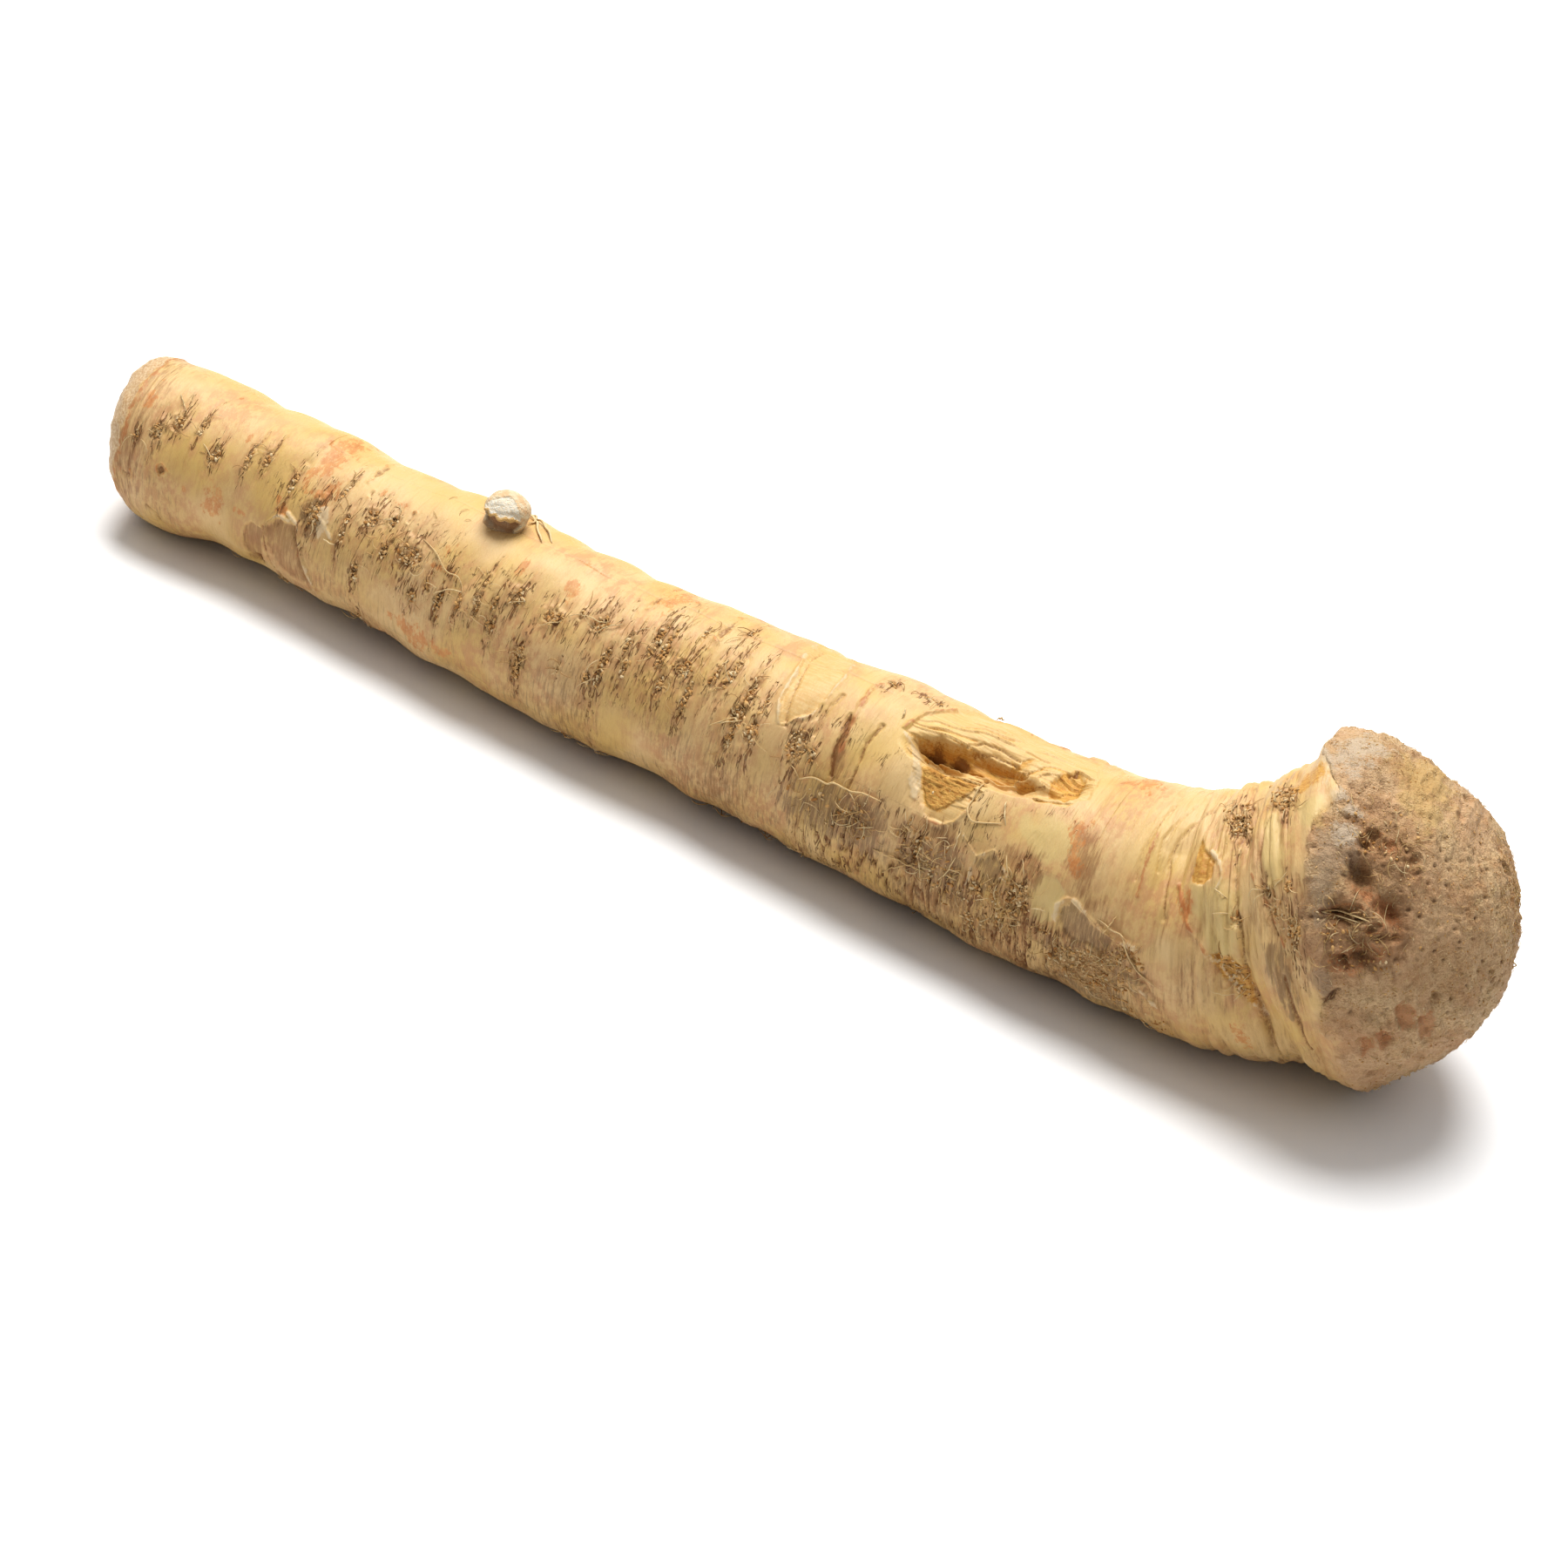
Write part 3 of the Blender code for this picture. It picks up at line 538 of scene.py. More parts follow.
# Tangles of hairs and crumbs: on the skin or the crown, hairs, crumbs, outline
TANGLES = (
    ("skin", 34, 30, ((890, 905), (925, 897), (965, 905), (1005, 925), (1014, 950), (1000, 968),
        (955, 955), (905, 930))),
    ("skin", 26, 26, ((958, 925), (990, 925), (996, 950), (965, 952))),
    ("skin", 60, 44, ((1025, 950), (1060, 955), (1088, 965), (1092, 1000), (1060, 1003), (1030, 990))),
    ("skin", 30, 50, ((1060, 985), (1095, 990), (1104, 1025), (1085, 1040), (1060, 1010))),
    ("skin", 46, 110, ((1102, 1005), (1140, 1012), (1181, 1006), (1181, 1060), (1150, 1069),
        (1105, 1062))),
    ("skin", 80, 230, ((1200, 1085), (1235, 1085), (1262, 1095), (1300, 1085), (1312, 1110), (1290, 1125),
        (1300, 1160), (1262, 1140), (1225, 1120), (1200, 1105))),
    ("skin", 6, 40, ((1280, 1150), (1310, 1160), (1350, 1182), (1345, 1192), (1300, 1178))),
    ("skin", 24, 34, ((1406, 921), (1435, 918), (1437, 950), (1420, 958), (1406, 948))),
    ("skin", 10, 44, ((1457, 900), (1489, 899), (1491, 926), (1460, 930))),
    ("skin", 10, 60, ((1390, 1098), (1424, 1100), (1445, 1150), (1432, 1150), (1405, 1120))),
    ("skin", 6, 40, ((1446, 1018), (1493, 1045), (1493, 1085), (1474, 1100), (1456, 1050))),
    ("skin", 6, 0, ((489, 585), (520, 560), (560, 560), (556, 600), (500, 612))),
    ("crown", 56, 70, ((1515, 1040), (1545, 1035), (1580, 1050), (1600, 1075), (1590, 1115), (1540, 1120),
        (1512, 1085))),
    ("crown", 30, 40, ((1555, 930), (1600, 920), (1640, 965), (1620, 1020), (1580, 1000), (1560, 975))),
)


def smoothstep(low, high, value):
    """A smooth rise from 0 at low to 1 at high, or a fall where low is the larger."""
    part = limited((value - low) / (high - low))
    return part * part * (3.0 - 2.0 * part)


def smooth(table, at):
    """A smooth curve through the table's points."""
    known, value = np.array(table, float).T
    gap = np.diff(known)
    slope = np.diff(value) / gap
    bend = np.empty(len(known))
    bend[0], bend[-1] = slope[0], slope[-1]
    bend[1:-1] = (slope[1:] * gap[:-1] + slope[:-1] * gap[1:]) / (gap[1:] + gap[:-1])
    left = np.clip(np.searchsorted(known, at) - 1, 0, len(gap) - 1)
    q = (at - known[left]) / gap[left]
    start = (2 * q**3 - 3 * q**2 + 1) * value[left] + (q**3 - 2 * q**2 + q) * gap[left] * bend[left]
    finish = (3 * q**2 - 2 * q**3) * value[left + 1] + (q**3 - q**2) * gap[left] * bend[left + 1]
    return start + finish


def limited(value):
    """A value kept from 0 to 1."""
    return np.clip(value, 0.0, 1.0)


def hump(distance):
    """A bell curve that is 1 at distance 0."""
    return np.exp(-0.5 * distance**2)


def unit(vectors):
    """Vectors of length one."""
    return vectors / np.linalg.norm(vectors, axis=-1, keepdims=True)


@functools.lru_cache(maxsize=1)
def axis_line():
    """The axis as points, the length along it, and its heading at each point."""
    x = np.linspace(-10.0, 290.0, 1501)
    lift = smooth(AXIS_LIFT, x)
    line = np.stack([x, LEAN[1] * lift, LEAN[2] * lift + SLOPE * x], 1)
    length = np.concatenate([[0.0], np.cumsum(np.linalg.norm(np.diff(line, axis=0), axis=1))])
    length -= np.interp(0.0, x, length)
    return line, length, np.gradient(line, length, axis=0)


def axis(arc):
    """Points on the axis, with its direction, its upward side and its front side."""
    line, length, heading = axis_line()
    point = np.stack([np.interp(arc, length, line[:, k]) for k in range(3)], -1)
    along = unit(np.stack([np.interp(arc, length, heading[:, k]) for k in range(3)], -1))
    up = unit(np.cross(along, np.array([0.0, -1.0, 0.0])))
    up *= np.sign(up[..., 2:3])
    return point, along, up, np.cross(along, up)


@functools.lru_cache(maxsize=1)
def outline():
    """The outline from the middle of the cut end to the tip of the crown: travel, arc, radius."""
    edge_arc = END_ARC + END_EDGE
    edge_radius = float(smooth(GIRTH, np.array([edge_arc]))[0])
    face_radius = edge_radius - END_EDGE
    part = np.linspace(0.0, 1.0, 41)
    quarter = part * math.pi / 2
    arcs = [END_ARC - END_DOME * np.cos(quarter), END_ARC + END_EDGE * (1 - np.cos(quarter))]
    radii = [face_radius * part, face_radius + END_EDGE * np.sin(quarter)]
    shaft = np.linspace(edge_arc, CROWN_ARC, 600)
    arcs += [shaft, CROWN_ARC + CROWN_RISE * np.sin(quarter)]
    radii += [smooth(GIRTH, shaft), CROWN_RADIUS * np.cos(quarter)]
    arc, radius = np.concatenate(arcs), np.concatenate(radii)
    step = np.hypot(np.diff(arc), np.diff(radius))
    keep = np.concatenate([[True], step > 1e-6])
    travel = np.concatenate([[0.0], np.cumsum(step)])
    return travel[keep], arc[keep], radius[keep]


def stations(low, high, count, focus):
    """Values from low to high, closer together at each (middle, spread, gain) of the focus."""
    fine = np.linspace(low, high, 4001)
    density = np.ones_like(fine)
    for middle, spread, gain in focus:
        density += gain * hump((fine - middle) / spread)
    total = np.cumsum(density) - density[0]
    return np.interp(np.linspace(0.0, total[-1], count), total, fine)


def turned(angle):
    """An angle brought into the range from -180 to 180."""
    return (angle + 180.0) % 360.0 - 180.0


def from_seam(angle):
    """An angle brought into the full turn that starts at the seam."""
    return SEAM + (angle - SEAM) % 360.0


def bell(distance):
    """A smooth rise that is 1 at distance 0 and gone at distance 1."""
    return limited(1.0 - distance**2) ** 2


def travel_at(arc):
    """Distance along the outline at an arc."""
    travel, arcs, _ = outline()
    return float(np.interp(arc, arcs, travel))


def patch(travel, angle, radius, place):
    """How strongly each point lies in an oval place on the surface, 0 to 1."""
    arc_at, angle_at, half_length, half_width, _, turn = place
    along = travel - travel_at(arc_at)
    across = np.radians(turned(angle - angle_at)) * radius
    cos, sin = math.cos(math.radians(turn)), math.sin(math.radians(turn))
    lengthwise = (along * cos + across * sin) / half_length
    sideways = (across * cos - along * sin) / half_width
    return bell(np.hypot(lengthwise, sideways))


def folds(arc, angle):
    """Creases round the neck, each with a soft ridge on its crown side."""
    height = np.zeros_like(arc)
    for depth, half_width, line in FOLDS:
        line_angle, line_arc = np.array(line, float).T
        middle = (line_angle[0] + line_angle[-1]) / 2
        here = middle + turned(angle - middle)
        beyond = np.maximum(line_angle[0] - here, here - line_angle[-1])
        strength = depth * limited(1.0 - beyond / FOLD_FADE)
        distance = (arc - np.interp(here, line_angle, line_arc)) / half_width
        height -= strength * hump(distance)
        height += strength * (FOLD_RIDGE * hump(distance - FOLD_RIDGE_AT))
    return height


def crown_edge(arc, angle):
    """The crown's lip over the neck on top, and the low step where the skin ends elsewhere."""
    window = hump(turned(angle - LIP_ANGLE) / LIP_SPREAD)
    lip = LIP_HEIGHT * hump((arc - LIP_ARC) / LIP_WIDTH)
    groove_width = np.where(arc < GROOVE_ARC, *GROOVE_WIDTHS)
    groove = GROOVE_DEPTH * hump((arc - GROOVE_ARC) / groove_width)
    step = RIM_STEP * hump((arc - RIM_ARC) / RIM_WIDTH)
    return window * (lip - groove) + (1.0 - window) * step


def underside(arc, angle):
    """How far the underside stands out or is drawn in."""
    return hump(turned(angle - UNDERSIDE_ANGLE) / UNDERSIDE_SPREAD) * smooth(UNDERSIDE, arc)


def relief(travel, arc, radius, angle):
    """Height of the main relief above the plain form."""
    turn = np.radians(angle)
    height = np.zeros_like(arc)
    for swell, wavelength, turns, phase in SWELLS:
        height += swell * np.cos(2 * math.pi * travel / wavelength + turns * turn + phase)
    height += folds(arc, angle) + crown_edge(arc, angle) + underside(arc, angle)
    for place in SWOLLEN:
        height += place[4] * patch(travel, angle, radius, place)
    for place in HOLLOWS:
        height -= place[4] * patch(travel, angle, radius, place)
    return height


def form(arc, radius, angle):
    """Points of the plain form, with the thin end cut at its slant."""
    turn = np.radians(angle)
    share = radius * np.cos(turn - math.radians(END_SLANT_ANGLE)) / GIRTH[1][1]
    fade = np.exp(-np.clip(arc - END_ARC, 0.0, None) / END_SLANT_REACH)
    point, _, up, front = axis(arc - END_SLANT * share * fade)
    outward = np.cos(turn)[..., None] * up + np.sin(turn)[..., None] * front
    return point + radius[..., None] * outward


def lattice(cell, seed):
    """A fixed random value from -1 to 1 at each point of a whole-number lattice."""
    x, y, z = (cell[..., k].astype(np.int64) for k in range(3))
    mixed = (x * 374761393 + y * 668265263 + z * 2147483647 + seed * 1274126177) & 0xFFFFFFFF
    mixed = ((mixed ^ (mixed >> 13)) * 1274126177) & 0xFFFFFFFF
    return ((mixed ^ (mixed >> 16)) & 0xFFFF) / 32767.5 - 1.0


def noise(place, size, seed):
    """Smooth noise from -1 to 1 at places in mm, with grains of a size in mm."""
    spot = place / np.array(size, float)
    cell = np.floor(spot)
    part = spot - cell
    ease = part * part * (3.0 - 2.0 * part)
    total = np.zeros(place.shape[:-1])
    for corner in np.ndindex(2, 2, 2):
        share = np.prod(np.where(corner, ease, 1.0 - ease), axis=-1)
        total += share * lattice(cell + corner, seed)
    return total


def layered(place, size, seed, layers=3):
    """Noise in layers, each half as large and half as strong as the one before."""
    total = np.zeros(place.shape[:-1])
    for layer in range(layers):
        total += 0.5**layer * noise(place, np.array(size, float) / 2**layer, seed + layer)
    return total


def pitted(place, size, seed):
    """Distance, in grains, to the nearest of points strewn one to a grain, and that point's luck."""
    spot = place / np.array(size, float)
    cell = np.floor(spot)
    nearest = np.full(place.shape[:-1], 9.0)
    luck = np.zeros_like(nearest)
    for corner in np.ndindex(3, 3, 3):
        there = cell + (np.array(corner) - 1)
        point = there + 0.5 + 0.45 * np.stack([lattice(there, seed + k) for k in range(3)], -1)
        distance = np.linalg.norm(spot - point, axis=-1)
        closer = distance < nearest
        nearest = np.where(closer, distance, nearest)
        luck = np.where(closer, lattice(there, seed + 7), luck)
    return nearest, luck


def camera_axes():
    """The camera's right, up and backward directions."""
    azimuth, elevation, roll = (
        math.radians(turn) for turn in (CAMERA_AZIMUTH, CAMERA_ELEVATION, CAMERA_ROLL))
    back = np.array([math.sin(azimuth) * math.cos(elevation),
                     -math.cos(azimuth) * math.cos(elevation), math.sin(elevation)])
    level = np.array([math.cos(azimuth), math.sin(azimuth), 0.0])
    right = math.cos(roll) * level + math.sin(roll) * np.cross(back, level)
    return right, np.cross(back, right), back


def seen(point):
    """Pixels of the photograph where points show, in mm from the part's origin."""
    right, up, back = camera_axes()
    away = point - CAMERA_PLACE
    depth = -away @ back
    scale = PHOTO * LENS / SENSOR / depth
    return np.stack([PHOTO / 2 + away @ right * scale, PHOTO / 2 - away @ up * scale], -1)


class Net:
    """Places on the root in rings and columns, with the height and the marks of each."""

    def __init__(self, travel, angle, closed=True):
        travels, arcs, radii = outline()
        self.closed = closed
        self.travel, self.angle = np.array(np.broadcast_arrays(travel[:, None], angle[None]))
        self.arc = np.interp(self.travel, travels, arcs)
        self.radius = np.interp(self.travel, travels, radii)
        self.plain = form(self.arc, self.radius, self.angle)
        beside = np.gradient(self.plain, axis=1)
        if closed:
            beside = np.roll(self.plain, -1, 1) - np.roll(self.plain, 1, 1)
        normal = np.cross(beside, np.gradient(self.plain, axis=0))
        self.tips = [row for row in (0, -1) if self.radius[row, 0] < 0.01]
        for row in self.tips:
            normal[row] = axis(self.arc[row, 0])[1] * (1.0 if row else -1.0)
        self.outward = unit(normal)
        self.height = relief(self.travel, self.arc, self.radius, self.angle)
        turn = np.radians(self.angle)
        self.straight = np.stack(
            [self.travel, self.radius * np.cos(turn), self.radius * np.sin(turn)], -1)
        self.marks = {kind: np.zeros_like(self.arc) for three in KINDS for kind in three}

    def points(self):
        """The places in mm from the part's origin, level where the root rests."""
        height = self.height.copy()
        for row in self.tips:
            height[row] = height[row].mean()
        point = self.plain + self.outward * height[..., None]
        point[..., 2] = np.maximum(point[..., 2], REST_LEVEL)
        return point - ORIGIN

    def mark(self, kind, amount, rows=slice(None)):
        """Lays a mark on, where it is stronger than what is there."""
        self.marks[kind][rows] = np.maximum(self.marks[kind][rows], amount)

    def wipe(self, kind, amount, rows=slice(None)):
        """Takes a share of a mark away."""
        self.marks[kind][rows] *= 1.0 - amount

    def rows(self, low, high):
        """The rings whose travel lies between two values."""
        return slice(*np.searchsorted(self.travel[:, 0], (low, high)))

    def away(self, travel, angle, half_along, half_round, rows):
        """Distances from the middle of an oval place, whose border is at 1."""
        along = self.travel[rows] - travel
        around = np.radians(turned(self.angle[rows] - angle)) * self.radius[rows]
        return np.hypot(along / half_along, around / half_round)

    def inside(self, low, high, start, stop):
        """How far in mm each place lies inside a window's border."""
        along = np.minimum(self.travel - travel_at(low), travel_at(high) - self.travel)
        aside = np.abs(turned(self.angle - (start + stop) / 2))
        return np.minimum(along, np.radians((stop - start) / 2 - aside) * self.radius)

    def at(self, travel, angle):
        """Points on the finished surface and the outward directions there."""
        ring = np.interp(travel, self.travel[:, 0], np.arange(len(self.travel)))
        column = np.interp(from_seam(angle), self.angle[0], np.arange(self.angle.shape[1]))
        low_ring = np.minimum(ring.astype(int), len(self.travel) - 2)
        low_column = column.astype(int)
        after = (low_column + 1) % self.angle.shape[1]
        up, over = (ring - low_ring)[..., None], (column - low_column)[..., None]
        found = []
        for grid in (self.surface, self.outward):
            near = grid[low_ring, low_column] * (1 - over) + grid[low_ring, after] * over
            far = grid[low_ring + 1, low_column] * (1 - over) + grid[low_ring + 1, after] * over
            found.append(near * (1 - up) + far * up)
        return found[0], unit(found[1])


class Finder:
    """Finds the place on the root that shows at a pixel of the photograph."""

    def __init__(self, net):
        self.net = net
        point = net.points()
        self.pixel = seen(point)
        towards = unit(CAMERA_PLACE - point)
        self.hidden = np.sum(net.outward * towards, -1) < LEAST_FACING

    @functools.lru_cache(maxsize=None)
    def place(self, x, y):
        """Travel and angle of the place at a pixel, with pixels per mm along and round there."""
        away = np.hypot(self.pixel[..., 0] - x, self.pixel[..., 1] - y)
        away += HIDDEN_AWAY * self.hidden
        ring, column = np.unravel_index(away.argmin(), away.shape)
        ring = min(max(ring, 1), away.shape[0] - 2)
        after = (column + 1) % away.shape[1]
        travel, angle = self.net.travel, self.net.angle
        radius = max(self.net.radius[ring, column], 1.0)
        steps = np.array([
            (self.pixel[ring + 1, column] - self.pixel[ring - 1, column])
            / (travel[ring + 1, column] - travel[ring - 1, column]),
            (self.pixel[ring, after] - self.pixel[ring, column - 1])
            / (math.radians(turned(angle[ring, after] - angle[ring, column - 1])) * radius),
        ])
        return float(travel[ring, column]), float(angle[ring, column]), steps

    def oval(self, box):
        """Middle and half sizes in mm, along and round, of the oval that shows in a box."""
        left, top, right, bottom = box
        travel, angle, steps = self.place((left + right) / 2, (top + bottom) / 2)
        half = np.array([right - left, bottom - top]) / 2
        squared = np.linalg.lstsq(steps.T**2, half**2, rcond=None)[0]
        around = math.sqrt(max(squared[1], 0.3))
        along = math.sqrt(max(squared[0], (0.22 * around) ** 2, 0.16))
        return travel, angle, along, around


def line_distances(net, finder, line, closed=False):
    """The rings near a line, each place's distance in mm from it, and what it encloses."""
    ends = [finder.place(x, y)[:2] for x, y in line]
    rows = net.rows(min(ends)[0] - LINE_REACH, max(ends)[0] + LINE_REACH)
    base = ends[0][1]
    radius = float(np.interp(ends[0][0], net.travel[:, 0], net.radius[:, 0]))
    flat = np.array([(travel, math.radians(turned(angle - base)) * radius)
                     for travel, angle in ends])
    travels = net.travel[rows]
    across = np.radians(turned(net.angle[rows] - base)) * radius
    distance = np.full(travels.shape, LINE_BEYOND)
    inside = np.zeros(travels.shape, bool)
    pairs = list(zip(flat, np.roll(flat, -1, 0)))
    for start, stop in pairs if closed else pairs[:-1]:
        step = stop - start
        length = max(float(step @ step), 1e-9)
        part = ((travels - start[0]) * step[0] + (across - start[1]) * step[1]) / length
        part = np.clip(part, 0.0, 1.0)
        gap = np.hypot(travels - start[0] - part * step[0], across - start[1] - part * step[1])
        distance = np.minimum(distance, gap)
        if closed and step[1] != 0.0:
            crossing = (start[1] > across) != (stop[1] > across)
            inside ^= crossing & (travels < start[0] + (across - start[1]) / step[1] * step[0])
    return rows, distance, inside


def wrinkle(net):
    """Fine wrinkles round the root, soft lumps, and pleats at the neck, with painted shade along the
    pleats' valleys.
    """
    bare = patch(net.travel, net.angle, net.radius, BARE)
    strength = smooth(WRINKLES, net.arc) * smoothstep(0.3, 0.05, bare)
    fine = layered(net.straight, (0.9, 8.0, 8.0), 11, 2)
    broad = noise(net.straight, (2.6, 16.0, 16.0), 17)
    net.height += strength * (fine + 0.8 * broad)
    net.height += 0.16 * noise(net.plain, 7.0, 21) + 0.07 * noise(net.plain, 3.0, 22)
    for size, seed in ((2.6, 23), (1.5, 25)):
        wander = noise(net.straight, (size, 16.0, 16.0), seed)
        valley = bell(wander / 0.3) * np.maximum(smooth(PLEATS, net.arc), 0.0) * size / 2.6
        net.height -= 0.9 * valley
        # Brown along each valley is painted shade.
        net.mark("brown", limited(0.8 * valley))


def soil_and_shade(net):
    """Dirt and painted shade on the lower sides, a pink blush, and slits and furrows, with painted shade
    in the furrows, where the root is dirtiest.
    """
    low = smoothstep(30.0, 105.0, np.abs(turned(net.angle)))
    cloud = 0.62 + 0.55 * layered(net.plain, 11.0, 31, 2)
    net.mark("dirt_and_shade", limited(low * smooth(DIRT_AND_SHADE, net.arc) * cloud))
    net.mark("blush", limited(0.35 + 1.1 * layered(net.plain, 9.0, 35)))
    before_neck = smoothstep(222.0, 205.0, net.arc)
    middle = bell((turned(net.angle) - 52.0) / 48.0) * smoothstep(20.0, 45.0, net.arc) * before_neck
    net.mark("slit", 0.6 * middle * limited(0.3 + 1.2 * layered(net.plain, 6.0, 45, 2)))
    black = smoothstep(66.0, 92.0, net.angle) * smoothstep(150.0, 120.0, net.angle)
    black = black * smoothstep(150.0, 168.0, net.arc) * before_neck
    zone = black * limited(0.5 + layered(net.plain, 7.0, 37, 2))
    net.mark("slit", 0.75 * zone)
    for size, seed in ((1.2, 39), (0.8, 43)):
        furrow = bell(noise(net.straight, (size, 9.0, 9.0), seed) / 0.22) * smoothstep(0.1, 0.6, zone)
        net.height -= 0.45 * size * furrow
        # Brown and dark along each furrow are painted shade in it.
        net.mark("brown", 0.6 * furrow)
        net.mark("dark", 0.6 * smoothstep(0.5, 1.0, furrow))


def cut_end(net):
    """The cut face of the thin end: porous pale flesh inside an orange rim."""
    beyond = smooth(CUT_EDGE, from_seam(net.angle)) - net.arc + 0.5 * layered(net.plain, 2.5, 95)
    face = smoothstep(-0.4, 0.4, beyond)
    for kind in ("dirt_and_shade", "stain", "scar", "slit", "blush"):
        net.wipe(kind, 0.9 * face)
    net.mark("cut", face)
    net.mark("red", 0.9 * bell((beyond + 0.5) / 0.9))
    net.mark("brown", 0.7 * smoothstep(-9.0, -1.0, beyond) * (1.0 - face))
    nearest, luck = pitted(net.plain, 1.5, 96)
    pore = bell(nearest / 0.4) * smoothstep(0.1, 0.6, luck) * face
    net.mark("brown", 0.8 * pore)
    net.height += face * (0.22 * layered(net.plain, 1.6, 97) + 0.25 * noise(net.plain, 4.5, 99))
    net.height += 0.3 * bell((beyond + 0.3) / 0.8) - 0.3 * pore


def scar(net, place, depth, kind, seed):
    """One ragged scar, longer round the root than along it, with a raised edge."""
    travel, angle, half_along, half_round = place
    half_along = 0.85 * half_along
    rows = net.rows(travel - 3.0 * half_along - 1.0, travel + 3.0 * half_along + 1.0)
    if rows.start == rows.stop:
        return
    ragged = 0.45 * noise(net.straight[rows], (0.7, 1.4, 1.4), seed)
    distance = net.away(travel, angle, half_along, half_round, rows) + ragged
    core = smoothstep(1.05, 0.5, distance)
    edge = bell((distance - 1.15) / 0.4)
    if kind == "eye":
        net.height[rows] += 0.2 * edge - depth * core
        net.mark("stain", 0.6 * edge, rows)
        net.mark("dark", 0.6 * core, rows)
        return
    reach = net.away(travel, angle, 1.5 * half_along + 0.5, 2.7 * half_round + 1.6, rows)
    net.mark("slit", 0.85 * smoothstep(1.2, 0.3, reach + 0.5 * ragged), rows)
    grain = noise(net.plain[rows], 0.75, seed + 1)
    pleat = noise(net.straight[rows], (0.8, 4.0, 4.0), seed + 2)
    net.height[rows] -= 0.28 * bell(pleat / 0.45) * smoothstep(1.2, 0.4, reach)
    net.height[rows] += 0.15 * edge - 0.55 * depth * core + 0.3 * core * grain
    net.mark("scar", 0.9 * core, rows)
    net.mark("dirt_and_shade", 0.3 * smoothstep(1.9, 0.9, distance), rows)
    net.mark("blush", 0.8 * smoothstep(1.5, 0.6, reach), rows)
    if kind == "pink":
        net.mark("stain", 0.7 * core, rows)
    # Dark where the crumbly relief is low is painted shadow between the crumbs; a dark scar has more of
    # it.
    gaps = 0.6 if kind == "dark" else 0.1
    net.mark("dark", 0.38 * core * smoothstep(gaps, gaps - 0.4, grain + 0.5), rows)


def hidden_places(luck, left, low, high, shown_from, shown_to):
    """Travel and angle of places strewn over the sides that the photograph doesn't show."""
    while left > 0:
        arc, angle = luck.uniform(low, high), luck.uniform(-180.0, 180.0)
        if not shown_from < angle < shown_to:
            yield travel_at(arc), angle
            left -= 1


def all_scars(finder):
    """Every scar's place, depth and kind, those that show first."""
    found = [(finder.oval(box), depth, kind) for kind, depth, boxes in SCARS for box in boxes]
    luck = np.random.default_rng(5)
    for travel, angle in hidden_places(luck, *HIDDEN_SCARS):
        around = luck.uniform(1.2, 4.2)
        place = (travel, angle, around * luck.uniform(0.22, 0.5), around)
        depth = luck.uniform(0.25, 0.6)
        found.append((place, depth, luck.choice(list(HIDDEN_KINDS), p=list(HIDDEN_KINDS.values()))))
    return found


def scars(net, finder):
    """Cuts every scar into the skin."""
    for number, (place, depth, kind) in enumerate(all_scars(finder)):
        scar(net, place, depth, kind, 100 + 5 * number)


def stains(net, finder):
    """Orange-brown stains with broken edges."""
    luck = np.random.default_rng(8)
    ragged = layered(net.straight, (1.6, 3.0, 3.0), 41)
    places = [finder.oval(box) for box in STAINS]
    for travel, angle in hidden_places(luck, *HIDDEN_STAINS):
        places.append((travel, angle, luck.uniform(1.0, 4.0), luck.uniform(1.5, 5.0)))
    for place in places:
        travel, _, half_along, _ = place
        rows = net.rows(travel - 3.0 * half_along, travel + 3.0 * half_along)
        distance = net.away(*place, rows)
        net.mark("stain", smoothstep(1.3, 0.3, distance + 0.85 * ragged[rows]), rows)


def patches(net, finder):
    """Places of one kind with an outline of their own."""
    ragged = layered(net.plain, 2.2, 51)
    for kind, height, soft, line in PATCHES:
        rows, distance, inside = line_distances(net, finder, line, True)
        depth = np.where(inside, distance, -distance) + max(0.8 * soft, 0.45) * ragged[rows]
        amount = smoothstep(-soft, soft, depth)
        net.height[rows] += height * amount
        if kind in ("flesh", "green"):
            for other in ("dirt_and_shade", "stain", "scar", "dark", "slit"):
                net.wipe(other, 0.9 * amount, rows)
        net.mark(kind, amount, rows)


def edges(net, finder):
    """Raised edges of torn skin."""
    ragged = layered(net.plain, 1.8, 61, 2)
    for kind, height, half_width, line in EDGES:
        rows, distance, _ = line_distances(net, finder, line)
        amount = bell(distance / half_width / (1.2 + 0.9 * ragged[rows]))
        net.height[rows] += height * amount
        net.mark(kind, amount * smoothstep(-0.6, 0.2, ragged[rows]), rows)


def creases(net, finder):
    """Sharp creases and cracks, with painted shade along them."""
    ragged = layered(net.plain, 1.6, 71, 2)
    for dark, depth, half_width, line in CREASES:
        rows, distance, _ = line_distances(net, finder, line)
        amount = bell(distance / half_width / (1.5 + 0.8 * ragged[rows]))
        net.height[rows] -= depth * amount
        net.mark("dark", dark * amount, rows)


